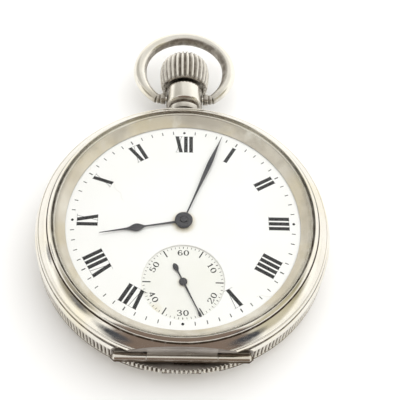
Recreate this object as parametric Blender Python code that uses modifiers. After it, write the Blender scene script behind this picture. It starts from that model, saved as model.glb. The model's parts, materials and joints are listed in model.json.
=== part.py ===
"""Open face pocket watch with a silver case, an enamel dial and a keyless lever movement.

It lies on its back: +Z is up out of the dial, +Y points to 12 o'clock, and the origin is the middle of the
flat on the back cover. Lengths are millimetres until a mesh is made, and heights are measured from the top of
the dial.
"""

import math

import bmesh
import bpy
from mathutils import Matrix, Vector

MM = 0.001
TURN = 2 * math.pi

# ---- driving dimensions -------------------------------------------------------------------------------
DIAL_HEIGHT = 9.4  # top of the dial above the flat on the back cover
FACETS = 48  # round the case

DIAL_RADIUS = 20.9
DIAL_THICKNESS = 0.8
SUBDIAL_RADIUS = 6.9
SUBDIAL_DEPTH = 0.3

BEZEL_FOOT = 20.15  # inner edge of the sloping ring round the dial
GLASS_RADIUS = 22.2
STEP_RADIUS = 23.5  # raised step that the bezel snaps over
LIP_RADIUS = 25.0
BAND_RADIUS = 25.45
BAND_BORE = 21.7
BACK_RADIUS = 25.45
BACK_FLAT = 9.0

CHORD = 23.45  # the bezel is cut straight here, over its hinge
FRONT_HINGE = (-23.6, -2.75)  # y and height of the bezel's hinge axis
FRONT_KNUCKLE = 0.76
FRONT_HALF = 11.4
BACK_HINGE = (-24.75, -5.45)
BACK_KNUCKLE = 0.42
BACK_HALF = 3.2
COVER_HALF = 1.2  # half of the back cover's own knuckle
OPENING = 0.06  # gap between knuckles

STEM_HEIGHT = -3.3  # axis of the pendant, stem and crown
PENDANT_RADIUS = 3.45
PENDANT_END = 31.8
PENDANT_FOOT = 25.55
CROWN_BASE = 31.95
CROWN_FLUTES = 28
BOW_RADIUS = 8.75  # middle of its wire
BOW_WIRE = 1.27
BOW_CENTRE = 36.6
BOW_END = 5.3  # sideways from the middle, where the ring turns into its eyes
BOW_EYE = 1.05

PLATE_RADIUS = 21.45
PLATE_TOP, PLATE_BOTTOM = -1.7, -3.4
BRIDGE_TOP, BRIDGE_BOTTOM = -5.9, -6.8

# tooth counts
BARREL_TEETH, CENTRE_PINION = 78, 12
CENTRE_TEETH, THIRD_PINION = 80, 10
THIRD_TEETH, FOURTH_PINION = 75, 10
FOURTH_TEETH, ESCAPE_PINION = 80, 8
ESCAPE_TEETH = 15
CANNON_TEETH, MINUTE_TEETH, MINUTE_PINION, HOUR_TEETH = 12, 36, 12, 48
WINDING_TEETH, CROWN_WHEEL_TEETH, RATCHET_TEETH = 20, 32, 50
BACKLASH = 0.05

# where each arbor stands in plan
CENTRE = (0.0, 0.0)
BARREL = (-5.6, 8.164)
THIRD = (5.19, -6.857)
FOURTH = (0.0, -11.4)
ESCAPE = (-5.35, -9.25)
PALLET = (-8.41, -8.02)
BALANCE = (-12.2, -6.5)
CROWN_WHEEL = (0.0, 14.24)
MINUTE_WHEEL = (1.825, 3.161)

HOUR_ANGLE, MINUTE_ANGLE, SECOND_ANGLE = 259.5, 21.0, 154.7  # degrees clockwise from 12

SILVER = ((0.78, 0.75, 0.69), 0.28, 1.0)
STEEL = ((0.55, 0.55, 0.56), 0.3, 1.0)
BLUED = ((0.03, 0.035, 0.06), 0.3, 0.8)
GILT = ((0.80, 0.62, 0.32), 0.35, 1.0)
BRASS = ((0.78, 0.60, 0.30), 0.3, 1.0)
ENAMEL = ((0.93, 0.93, 0.90), 0.12, 0.0)
RUBY = ((0.60, 0.06, 0.12), 0.1, 0.0)
GLASS = ((0.95, 0.96, 0.96), 0.03, 0.0)

# ---- the scene ----------------------------------------------------------------------------------------
for old in list(bpy.data.objects):
    bpy.data.objects.remove(old, do_unlink=True)

PARTS = bpy.data.collections.new("pocket_watch")
CUTTERS = bpy.data.collections.new("cutters")
bpy.context.scene.collection.children.link(PARTS)
bpy.context.scene.collection.children.link(CUTTERS)


# ---- making shapes ------------------------------------------------------------------------------------
def as_object(name, bm):
    """An object in the parts collection from a bmesh in metres."""
    mesh = bpy.data.meshes.new(name)
    bm.to_mesh(mesh)
    bm.free()
    obj = bpy.data.objects.new(name, mesh)
    PARTS.objects.link(obj)
    return obj


def turned(name, profile, steps=FACETS, centre=(0.0, 0.0), ring=True, lift=DIAL_HEIGHT):
    """A turned solid from (radius, height) points that run down its outer side first."""
    bm = bmesh.new()
    points = [bm.verts.new((r * MM, 0, (h + lift) * MM)) for r, h in profile]
    pairs = list(zip(points, points[1:]))
    if ring:
        pairs.append((points[-1], points[0]))
    for pair in pairs:
        bm.edges.new(pair)
    obj = as_object(name, bm)
    obj.location = (centre[0] * MM, centre[1] * MM, 0)
    turn = obj.modifiers.new("Turn", "SCREW")
    turn.axis = "Z"
    turn.angle = TURN
    turn.steps = turn.render_steps = steps
    turn.use_merge_vertices = True
    turn.merge_threshold = 1e-7
    return obj


def along_y(obj):
    """Lays a piece turned about its own axis along Y, at the stem's height, its height running to +Y."""
    obj.rotation_euler = (-math.pi / 2, 0, 0)
    obj.location = (0, 0, (DIAL_HEIGHT + STEM_HEIGHT) * MM)
    return obj


def flat(name, outlines, low, high, centre=(0.0, 0.0)):
    """A flat piece between two heights from closed outlines; the inner ones are openings."""
    curve = bpy.data.curves.new(name, "CURVE")
    curve.dimensions = "2D"
    curve.fill_mode = "BOTH"
    curve.extrude = (high - low) / 2
    for outline in outlines:
        spline = curve.splines.new("POLY")
        spline.points.add(len(outline) - 1)
        for point, (x, y) in zip(spline.points, outline):
            point.co = (x, y, 0, 1)
        spline.use_cyclic_u = True
    holder = bpy.data.objects.new(name, curve)
    PARTS.objects.link(holder)
    seen = holder.evaluated_get(bpy.context.evaluated_depsgraph_get())
    mesh = bpy.data.meshes.new_from_object(seen)
    bpy.data.objects.remove(holder, do_unlink=True)
    bm = bmesh.new()
    bm.from_mesh(mesh)
    bpy.data.meshes.remove(mesh)
    bmesh.ops.remove_doubles(bm, verts=bm.verts, dist=1e-4)
    bmesh.ops.translate(bm, verts=bm.verts, vec=(0, 0, (low + high) / 2 + DIAL_HEIGHT))
    bmesh.ops.scale(bm, verts=bm.verts, vec=(MM, MM, MM))
    bmesh.ops.recalc_face_normals(bm, faces=bm.faces)
    obj = as_object(name, bm)
    obj.location = (centre[0] * MM, centre[1] * MM, 0)
    return obj


def rod(name, radius, start, end, segments=16):
    """A round rod between two points (x, y, height)."""
    a, b = (Vector((x, y, h + DIAL_HEIGHT)) * MM for x, y, h in (start, end))
    bm = bmesh.new()
    bmesh.ops.create_cone(
        bm,
        cap_ends=True,
        segments=segments,
        radius1=radius * MM,
        radius2=radius * MM,
        depth=(b - a).length,
        matrix=Matrix.Translation((a + b) / 2)
        @ (b - a).to_track_quat("Z", "X").to_matrix().to_4x4(),
    )
    return as_object(name, bm)


def post(name, radius, centre, low, high, segments=16):
    """An upright rod."""
    return rod(name, radius, (*centre, low), (*centre, high), segments)


def block(name, low, high):
    """A box between two corners (x, y, height)."""
    bm = bmesh.new()
    bmesh.ops.create_cube(bm, size=1.0)
    size = [(b - a) * MM for a, b in zip(low, high)]
    middle = Vector([(a + b) / 2 for a, b in zip(low, high)]) + Vector((0, 0, DIAL_HEIGHT))
    bmesh.ops.scale(bm, verts=bm.verts, vec=size)
    bmesh.ops.translate(bm, verts=bm.verts, vec=middle * MM)
    return as_object(name, bm)


def combine(target, operation, tools):
    """Adds Boolean modifiers to the target; each tool moves to the cutters."""
    for tool in tools:
        step = target.modifiers.new(tool.name, "BOOLEAN")
        step.solver = "EXACT"
        step.operation = operation
        step.object = tool
        if tool.name not in CUTTERS.objects:
            PARTS.objects.unlink(tool)
            CUTTERS.objects.link(tool)
        tool.hide_render = True
        tool.display_type = "WIRE"
    return target


def cut(target, *tools):
    return combine(target, "DIFFERENCE", tools)


def join(target, *tools):
    return combine(target, "UNION", tools)


def on_axis(name, position, *pieces):
    """Hangs pieces on an empty that stands on their joint's axis."""
    empty = bpy.data.objects.new(name, None)
    PARTS.objects.link(empty)
    empty.location = Vector(position) * MM
    empty.empty_display_size = 0.003
    for piece in pieces:
        piece.parent = empty
        piece.location = Vector(piece.location) - empty.location


# ---- outlines -----------------------------------------------------------------------------------------
def circle(radius, count, centre=(0.0, 0.0), start=0.0):
    return [
        (
            centre[0] + radius * math.cos(start + TURN * i / count),
            centre[1] + radius * math.sin(start + TURN * i / count),
        )
        for i in range(count)
    ]


def polar(radius, angle):
    return radius * math.cos(angle), radius * math.sin(angle)


def heading(start, end):
    """The direction from one arbor to another, in radians."""
    return math.atan2(end[1] - start[1], end[0] - start[0])


def teeth(count, radius, tooth_at, module):
    """A ring of pointed teeth round a pitch radius; one tooth points along tooth_at."""
    tip, root = radius + 0.7 * module, radius - 0.9 * module
    return [
        polar(root if i % 2 else tip, tooth_at + TURN * i / (2 * count))
        for i in range(2 * count)
    ]


def gap_facing(count, direction):
    """Where a gear's tooth points so that a gap faces the direction."""
    return direction + math.pi / count


def windows(inner, outer, spokes, arc_steps=4, web=0.16):
    """The openings between a wheel's spokes."""
    found = []
    for i in range(spokes):
        near, far = web / inner * 2.2, web / outer * 2.2
        low, high = TURN * i / spokes, TURN * (i + 1) / spokes
        found.append(
            [
                polar(outer, low + far + (high - low - 2 * far) * k / arc_steps)
                for k in range(arc_steps + 1)
            ]
            + [polar(inner, high - near), polar(inner, low + near)]
        )
    return found


def stadium(start, end, radius_start, radius_end, steps=8):
    """An outline with a round end about each of two points."""
    direction = heading(start, end)
    outline = []
    for point, radius, first in (
        (end, radius_end, direction - math.pi / 2),
        (start, radius_start, direction + math.pi / 2),
    ):
        for k in range(steps + 1):
            x, y = polar(radius, first + math.pi * k / steps)
            outline.append((point[0] + x, point[1] + y))
    return outline


def spiral(inner, outer, turns, thickness, steps=16):
    """A spiral strip seen from above."""
    count = int(turns * steps)
    middle = [
        (inner + (outer - inner) * i / count, TURN * i / steps)
        for i in range(count + 1)
    ]
    return [polar(r + thickness / 2, a) for r, a in middle] + [
        polar(r - thickness / 2, a) for r, a in reversed(middle)
    ]


def pointer(angle, stations):
    """A hand's outline, clockwise degrees from 12, from (distance, half width) stations."""
    turned_by = math.radians(90 - angle)
    side = [(d, w) for d, w in stations] + [(d, -w) for d, w in reversed(stations)]
    kept = []
    for d, w in side:
        point = (
            d * math.cos(turned_by) - w * math.sin(turned_by),
            d * math.sin(turned_by) + w * math.cos(turned_by),
        )
        if point not in kept:
            kept.append(point)
    return kept


# ---- case ---------------------------------------------------------------------------------------------
def knuckle(name, axis, radius, low, high):
    return rod(name, radius, (low, *axis), (high, *axis), 16)


def make_band():
    """The case's middle, with the step and lip that the covers snap over and its half of each hinge."""
    band = turned(
        "case_band",
        [
            (STEP_RADIUS, 0.0),
            (STEP_RADIUS, -0.9),
            (LIP_RADIUS, -0.9),
            (BAND_RADIUS, -2.0),
            (BAND_RADIUS, -4.6),
            (25.4, -5.3),
            (24.2, -5.3),
            (24.2, -5.8),
            (BAND_BORE, -5.8),
            (BAND_BORE, 0.0),
        ],
    )
    y, h = FRONT_HINGE
    cut(band, block("notch_front", (-11.7, -30, -3.65), (11.7, -22.75, 1)))
    cut(band, block("notch_back", (-3.4, -30, -6.2), (3.4, -24.05, -4.95)))
    reach = FRONT_HALF / 2
    for side, low, high in (
        ("left", -FRONT_HALF, -reach - OPENING),
        ("right", reach + OPENING, FRONT_HALF),
    ):
        join(
            band,
            knuckle(f"front_knuckle_{side}", FRONT_HINGE, FRONT_KNUCKLE, low, high),
            block(f"front_foot_{side}", (low + 0.2, y, h - 0.6), (high - 0.2, -22.3, h + 0.1)),
        )
    y, h = BACK_HINGE
    for side, low, high in (
        ("left", -BACK_HALF, -COVER_HALF - OPENING),
        ("right", COVER_HALF + OPENING, BACK_HALF),
    ):
        join(
            band,
            knuckle(f"back_knuckle_{side}", BACK_HINGE, BACK_KNUCKLE, low, high),
            block(f"back_foot_{side}", (low + 0.1, y - 0.2, -5.3), (high - 0.1, -23.9, -4.7)),
        )
    cut(
        band,
        rod("front_bore", 0.36, (-15, *FRONT_HINGE), (15, *FRONT_HINGE), 12),
        rod("back_bore", 0.24, (-7, *BACK_HINGE), (7, *BACK_HINGE), 12),
        rod("stem_bore", 1.0, (0, 15, STEM_HEIGHT), (0, 30, STEM_HEIGHT), 16),
    )
    return band


def make_bezel():
    """The ring that holds the glass, cut straight over its hinge."""
    bezel = turned(
        "bezel",
        [
            (22.3, 2.5),
            (22.7, 2.45),
            (23.1, 1.7),
            (24.0, 1.3),
            (24.65, 0.35),
            (LIP_RADIUS, -0.3),
            (24.9, -0.8),
            (STEP_RADIUS + 0.1, -0.8),
            (STEP_RADIUS + 0.1, 0.12),
            (BEZEL_FOOT, 0.12),
            (BEZEL_FOOT, 0.3),
            (21.9, 2.0),
            (22.3, 2.0),
        ],
    )
    cut(bezel, block("bezel_chord", (-12, -30, -2), (12, -CHORD, 3)))
    y, h = FRONT_HINGE
    reach = FRONT_HALF / 2 - OPENING
    # the bezel's ring is thin over its step at the chord, so the hinge hangs from a tongue that fills it
    join(
        bezel,
        block("bezel_tongue", (-reach, -CHORD, h + 0.3), (reach, -22.95, 0.6)),
        knuckle("bezel_knuckle", FRONT_HINGE, FRONT_KNUCKLE, -reach, reach),
    )
    return cut(bezel, bpy.data.objects["front_bore"])


def make_back():
    """The domed back cover, with a flat in the middle that the watch lies on."""
    back = turned(
        "back_cover",
        [
            (BACK_RADIUS, -5.4),
            (25.3, -5.75),
            (23.0, -6.85),
            (19.5, -8.1),
            (15.0, -8.95),
            (BACK_FLAT, -9.4),
            (0.0, -9.4),
            (0.0, -8.93),
            (BACK_FLAT, -8.93),
            (14.8, -8.48),
            (19.3, -7.62),
            (22.6, -6.45),
            (24.3, -5.85),
            (24.3, -5.4),
        ],
        ring=True,
    )
    cut(back, block("back_chord", (-6.1, -30, -6.02), (6.1, -24.15, -4)))
    y, h = BACK_HINGE
    join(
        back,
        knuckle("cover_knuckle", BACK_HINGE, BACK_KNUCKLE, OPENING - COVER_HALF, COVER_HALF - OPENING),
        block("cover_foot", (-1.05, y + 0.1, -6.2), (1.05, -24.2, h - 0.05)),
    )
    return cut(back, bpy.data.objects["back_bore"])


def make_pendant():
    """The neck that carries the bow, let into the band."""
    pendant = along_y(
        turned(
            "pendant",
            [
                (3.1, PENDANT_END),
                (PENDANT_RADIUS, PENDANT_END - 0.4),
                (PENDANT_RADIUS, 27.8),
                (2.75, 27.25),
                (2.75, 26.85),
                (3.05, 26.5),
                (3.05, PENDANT_FOOT),
                (1.0, PENDANT_FOOT),
                (1.0, PENDANT_END),
            ],
            24,
            lift=0,
        )
    )
    hole = rod(
        "bow_holes",
        0.7,
        (-5, bow_axis_y(), STEM_HEIGHT),
        (5, bow_axis_y(), STEM_HEIGHT),
        12,
    )
    core = rod("bow_holes_stop", 1.9, (0, 26.9, STEM_HEIGHT), (0, 31, STEM_HEIGHT), 16)
    return cut(pendant, cut(hole, core))


def bow_axis_y():
    return BOW_CENTRE - math.sqrt(BOW_RADIUS**2 - BOW_END**2)


def make_bow():
    """A round ring of wire with an eye at each end, and a peg on it that turns in the pendant."""
    opening = math.asin(BOW_END / BOW_RADIUS)
    count = 28
    curve = bpy.data.curves.new("bow", "CURVE")
    curve.dimensions = "3D"
    curve.bevel_depth = BOW_WIRE
    curve.bevel_resolution = 1
    curve.use_fill_caps = True
    spline = curve.splines.new("POLY")
    spline.points.add(count)
    for i, point in enumerate(spline.points):
        angle = -math.pi / 2 + opening + (TURN - 2 * opening) * i / count
        x, y = polar(BOW_RADIUS, angle)
        point.co = (x, BOW_CENTRE + y, DIAL_HEIGHT + STEM_HEIGHT, 1)
        point.radius = min(1.0, 0.74 + 0.065 * min(i, count - i))
    holder = bpy.data.objects.new("bow", curve)
    PARTS.objects.link(holder)
    seen = holder.evaluated_get(bpy.context.evaluated_depsgraph_get())
    mesh = bpy.data.meshes.new_from_object(seen)
    bpy.data.objects.remove(holder, do_unlink=True)
    bm = bmesh.new()
    bm.from_mesh(mesh)
    bpy.data.meshes.remove(mesh)
    bmesh.ops.remove_doubles(bm, verts=bm.verts, dist=1e-4)
    bmesh.ops.scale(bm, verts=bm.verts, vec=(MM, MM, MM))
    bmesh.ops.recalc_face_normals(bm, faces=bm.faces)
    bow = as_object("bow", bm)
    y = bow_axis_y()
    for side, sign in (("left", -1), ("right", 1)):
        join(
            bow,
            rod(f"bow_eye_{side}", BOW_EYE, (sign * 5.25, y, STEM_HEIGHT), (sign * 3.7, y, STEM_HEIGHT), 16),
            rod(f"bow_peg_{side}", 0.6, (sign * 4.5, y, STEM_HEIGHT), (sign * 2.3, y, STEM_HEIGHT), 12),
        )
    return bow


def make_crown():
    """The fluted winding crown: each ring of its skin zigzags by the flute's depth."""
    rings = [
        (4.25, CROWN_BASE, 0.0),
        (4.45, CROWN_BASE + 0.15, 0.28),
        (4.8, CROWN_BASE + 2.9, 0.36),
        (4.8, CROWN_BASE + 4.0, 0.36),
        (4.55, CROWN_BASE + 5.6, 0.3),
        (3.6, CROWN_BASE + 6.9, 0.2),
        (2.2, CROWN_BASE + 7.65, 0.0),
    ]
    count = 2 * CROWN_FLUTES
    bm = bmesh.new()
    loops = []
    for radius, y, depth in rings:
        loops.append(
            [
                bm.verts.new(
                    Vector(
                        (
                            *polar(radius - (depth if i % 2 else 0), TURN * i / count),
                            y,
                        )
                    )
                    * MM
                )
                for i in range(count)
            ]
        )
    for low, high in zip(loops, loops[1:]):
        for i in range(count):
            j = (i + 1) % count
            bm.faces.new((low[i], low[j], high[j], high[i]))
    bm.faces.new(reversed(loops[0]))
    bm.faces.new(loops[-1])
    crown = along_y(as_object("crown", bm))
    recess = rod("crown_recess", 3.75, (0, 30, STEM_HEIGHT), (0, CROWN_BASE + 1.0, STEM_HEIGHT), 24)
    bore = rod("crown_bore", 0.62, (0, 30, STEM_HEIGHT), (0, CROWN_BASE + 5, STEM_HEIGHT), 12)
    return cut(crown, recess, bore)


def make_stem():
    """The winding stem, with the square end that slides in the clutch."""
    stem = rod("stem", 0.55, (0, 21.0, STEM_HEIGHT), (0, CROWN_BASE + 4.9, STEM_HEIGHT), 12)
    square = block(
        "stem_square",
        (-0.38, 15.9, STEM_HEIGHT - 0.38),
        (0.38, 21.2, STEM_HEIGHT + 0.38),
    )
    return join(stem, square)


# ---- dial and hands -----------------------------------------------------------------------------------
def make_dial():
    dial = turned(
        "dial",
        [
            (DIAL_RADIUS - 0.1, 0.0),
            (DIAL_RADIUS, -0.1),
            (DIAL_RADIUS, -DIAL_THICKNESS),
            (1.3, -DIAL_THICKNESS),
            (1.3, 0.0),
        ],
    )
    return cut(
        dial,
        post("subdial_sink", SUBDIAL_RADIUS, FOURTH, -SUBDIAL_DEPTH, 1, 40),
        post("seconds_hole", 0.55, FOURTH, -2, 1, 12),
    )


def make_hands():
    """Blued steel hands: a spade for hours, a long leaf for minutes, a counterpoised needle for seconds."""
    hour = flat(
        "hour_hand",
        [
            pointer(
                HOUR_ANGLE,
                [
                    (0.9, 0.22),
                    (7.0, 0.15),
                    (7.5, 0.62),
                    (8.3, 0.72),
                    (9.1, 0.35),
                    (10.0, 0.17),
                    (14.5, 0.03),
                ],
            )
        ],
        0.36,
        0.5,
    )
    hour = join(hour, post("hour_boss", 1.35, CENTRE, 0.3, 0.52, 24))
    cut(hour, post("hour_eye", 1.08, CENTRE, 0, 1, 24))
    minute = flat(
        "minute_hand",
        [
            pointer(
                MINUTE_ANGLE,
                [
                    (1.0, 0.14),
                    (6.0, 0.17),
                    (10.0, 0.33),
                    (12.4, 0.4),
                    (15.0, 0.28),
                    (19.1, 0.03),
                ],
            )
        ],
        0.68,
        0.8,
    )
    minute = join(minute, post("minute_boss", 1.5, CENTRE, 0.62, 0.86, 24))
    cut(minute, post("minute_eye", 0.68, CENTRE, 0, 0.79, 24))
    seconds = flat(
        "seconds_hand",
        [
            pointer(
                SECOND_ANGLE,
                [
                    (-3.6, 0.1),
                    (-3.3, 0.38),
                    (-2.4, 0.42),
                    (-0.5, 0.12),
                    (0.5, 0.16),
                    (6.9, 0.03),
                ],
            )
        ],
        -0.05,
        0.05,
        FOURTH,
    )
    seconds = join(seconds, post("seconds_boss", 0.62, FOURTH, -0.12, 0.14, 16))
    cut(seconds, post("seconds_eye", 0.28, FOURTH, -0.2, 0.04, 12))
    return hour, minute, seconds


# ---- movement -----------------------------------------------------------------------------------------
def wheel(name, count, mate, tooth_at, low, high, centre, spokes=4, hub=1.1, rim=0.75):
    """A spoked wheel; its pitch radius shares out the distance to the pinion of mate = (teeth, arbor)."""
    radius = pitch(count, mate[0], centre, mate[1])
    module = 2 * radius / count
    outline = teeth(count, radius, tooth_at, module)
    return flat(name, [outline] + windows(hub, radius - rim, spokes), low, high, centre)


def pinion(name, count, mate, tooth_at, low, high, centre):
    radius = pitch(count, mate[0], centre, mate[1])
    return flat(name, [teeth(count, radius, tooth_at, 2 * radius / count)], low, high, centre)


def pitch(count, mate_count, centre, mate_centre):
    distance = math.dist(centre, mate_centre) - BACKLASH
    return distance * count / (count + mate_count)


def arbor(name, centre, low, high, radius, pivot=0.15, pivot_length=0.45):
    """A staff about its centre with a thin pivot at each end."""
    return turned(
        name,
        [
            (0.0, high + pivot_length),
            (pivot, high + pivot_length),
            (pivot, high),
            (radius, high),
            (radius, low),
            (pivot, low),
            (pivot, low - pivot_length),
            (0.0, low - pivot_length),
        ],
        12,
        centre,
        ring=False,
    )


def make_train():
    """Barrel to escape wheel. A tooth of each wheel stands in a gap of the next pinion."""
    to_centre = heading(BARREL, CENTRE)
    radius = pitch(BARREL_TEETH, CENTRE_PINION, BARREL, CENTRE)
    barrel = flat(
        "barrel",
        [
            teeth(BARREL_TEETH, radius, to_centre, 2 * radius / BARREL_TEETH),
            circle(1.0, 16),
        ],
        -4.55,
        -4.15,
        BARREL,
    )
    join(
        barrel,
        turned(
            "barrel_wall",
            [(8.15, -4.3), (8.15, -5.25), (7.65, -5.25), (7.65, -4.3)],
            36,
            BARREL,
        ),
    )
    turned("barrel_lid", [(7.6, -5.0), (7.6, -5.2), (1.0, -5.2), (1.0, -5.0)], 32, BARREL)
    flat("mainspring", [spiral(1.9, 7.3, 4, 0.22)], -4.95, -4.6, BARREL)

    centre = pinion(
        "centre_wheel",
        CENTRE_PINION,
        (BARREL_TEETH, BARREL),
        gap_facing(CENTRE_PINION, to_centre + math.pi),
        -5.1,
        -3.75,
        CENTRE,
    )
    join(
        centre,
        wheel(
            "centre_rim",
            CENTRE_TEETH,
            (THIRD_PINION, THIRD),
            heading(CENTRE, THIRD),
            -3.9,
            -3.6,
            CENTRE,
            5,
            1.9,
            0.95,
        ),
        turned(
            "centre_arbor",
            [
                (0.0, 0.6),
                (0.42, 0.6),
                (0.42, -1.72),
                (0.8, -1.72),
                (0.8, -5.5),
                (0.35, -5.5),
                (0.35, -6.4),
                (0.0, -6.4),
            ],
            12,
            CENTRE,
            ring=False,
        ),
    )

    third = pinion(
        "third_wheel",
        THIRD_PINION,
        (CENTRE_TEETH, CENTRE),
        gap_facing(THIRD_PINION, heading(THIRD, CENTRE)),
        -4.5,
        -3.55,
        THIRD,
    )
    join(
        third,
        wheel(
            "third_rim",
            THIRD_TEETH,
            (FOURTH_PINION, FOURTH),
            heading(THIRD, FOURTH),
            -4.7,
            -4.4,
            THIRD,
            5,
            1.35,
            0.75,
        ),
        arbor("third_arbor", THIRD, -5.75, -3.5, 0.35),
    )

    fourth = pinion(
        "fourth_wheel",
        FOURTH_PINION,
        (THIRD_TEETH, THIRD),
        gap_facing(FOURTH_PINION, heading(FOURTH, THIRD)),
        -5.2,
        -4.2,
        FOURTH,
    )
    join(
        fourth,
        wheel(
            "fourth_rim",
            FOURTH_TEETH,
            (ESCAPE_PINION, ESCAPE),
            heading(FOURTH, ESCAPE),
            -5.4,
            -5.1,
            FOURTH,
            5,
            1.2,
            0.65,
        ),
        turned(
            "fourth_arbor",
            [
                (0.0, 0.0),
                (0.22, 0.0),
                (0.22, -3.5),
                (0.4, -3.5),
                (0.4, -5.75),
                (0.15, -5.75),
                (0.15, -6.4),
                (0.0, -6.4),
            ],
            12,
            FOURTH,
            ring=False,
        ),
    )

    escape = pinion(
        "escape_wheel",
        ESCAPE_PINION,
        (FOURTH_TEETH, FOURTH),
        gap_facing(ESCAPE_PINION, heading(ESCAPE, FOURTH)),
        -5.55,
        -4.2,
        ESCAPE,
    )
    club = []
    for i in range(ESCAPE_TEETH):
        start = TURN * i / ESCAPE_TEETH
        for radius, share in ((2.2, 0.0), (2.8, 0.35), (2.72, 0.55), (2.2, 0.5)):
            club.append(polar(radius, start + TURN / ESCAPE_TEETH * share))
    join(
        escape,
        flat("escape_rim", [club] + windows(0.75, 1.75, 4, 3, 0.1), -4.3, -4.1, ESCAPE),
        arbor("escape_arbor", ESCAPE, -5.75, -3.5, 0.25),
    )


def make_escapement():
    """Pallets and fork, balance and hairspring."""
    half = [
        (3.0, 0.18),
        (0.7, 0.25),
        (0.55, 0.7),
        (0.1, 1.95),
        (-0.45, 2.05),
        (-0.62, 1.62),
        (-0.15, 1.35),
        (-0.3, 0.3),
    ]
    outline = half + [(x, -y) for x, y in reversed(half)]
    lever = heading(PALLET, BALANCE)
    outline = [
        (
            x * math.cos(lever) - y * math.sin(lever),
            x * math.sin(lever) + y * math.cos(lever),
        )
        for x, y in outline
    ]
    fork = flat("pallet_fork", [outline], -4.35, -4.1, PALLET)
    join(fork, arbor("pallet_staff", PALLET, -4.45, -3.5, 0.22, 0.12, 0.3))

    balance = flat(
        "balance_wheel",
        [circle(5.85, 48)] + windows(1.0, 5.1, 3, 12, 0.3),
        -5.5,
        -5.0,
        BALANCE,
    )
    pin = polar(0.75, heading(BALANCE, PALLET))
    join(
        balance,
        arbor("balance_staff", BALANCE, -5.85, -3.5, 0.3, 0.12),
        post("balance_roller", 1.0, BALANCE, -4.7, -4.45, 20),
        post(
            "impulse_pin",
            0.1,
            (BALANCE[0] + pin[0], BALANCE[1] + pin[1]),
            -4.55,
            -4.15,
            8,
        ),
    )
    flat("hairspring", [spiral(0.7, 3.4, 4, 0.09)], -5.8, -5.6, BALANCE)


def make_motion_work():
    """Cannon pinion, minute wheel and hour wheel, under the dial."""
    cannon = flat(
        "cannon_pinion",
        [
            teeth(
                CANNON_TEETH,
                pitch(CANNON_TEETH, MINUTE_TEETH, CENTRE, MINUTE_WHEEL),
                gap_facing(CANNON_TEETH, heading(CENTRE, MINUTE_WHEEL)),
                0.15,
            )
        ],
        -1.66,
        -1.3,
    )
    join(cannon, post("cannon_pipe", 0.64, CENTRE, -1.5, 0.77, 16))
    cut(cannon, post("cannon_bore", 0.46, CENTRE, -2, 0.7, 12))

    minute = flat(
        "minute_wheel",
        [
            teeth(
                MINUTE_TEETH,
                pitch(MINUTE_TEETH, CANNON_TEETH, MINUTE_WHEEL, CENTRE),
                heading(MINUTE_WHEEL, CENTRE),
                0.15,
            )
        ],
        -1.62,
        -1.35,
        MINUTE_WHEEL,
    )
    join(
        minute,
        flat(
            "minute_pinion",
            [
                teeth(
                    MINUTE_PINION,
                    pitch(MINUTE_PINION, HOUR_TEETH, MINUTE_WHEEL, CENTRE),
                    gap_facing(MINUTE_PINION, heading(MINUTE_WHEEL, CENTRE)),
                    0.12,
                )
            ],
            -1.5,
            -0.95,
            MINUTE_WHEEL,
        ),
    )
    cut(minute, post("minute_bore", 0.3, MINUTE_WHEEL, -2, 0, 12))

    hour = flat(
        "hour_wheel",
        [
            teeth(
                HOUR_TEETH,
                pitch(HOUR_TEETH, MINUTE_PINION, CENTRE, MINUTE_WHEEL),
                heading(CENTRE, MINUTE_WHEEL),
                0.12,
            )
        ],
        -1.22,
        -0.98,
    )
    join(hour, post("hour_pipe", 1.02, CENTRE, -1.1, 0.55, 20))
    cut(hour, post("hour_bore", 0.72, CENTRE, -2, 1, 20))


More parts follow.
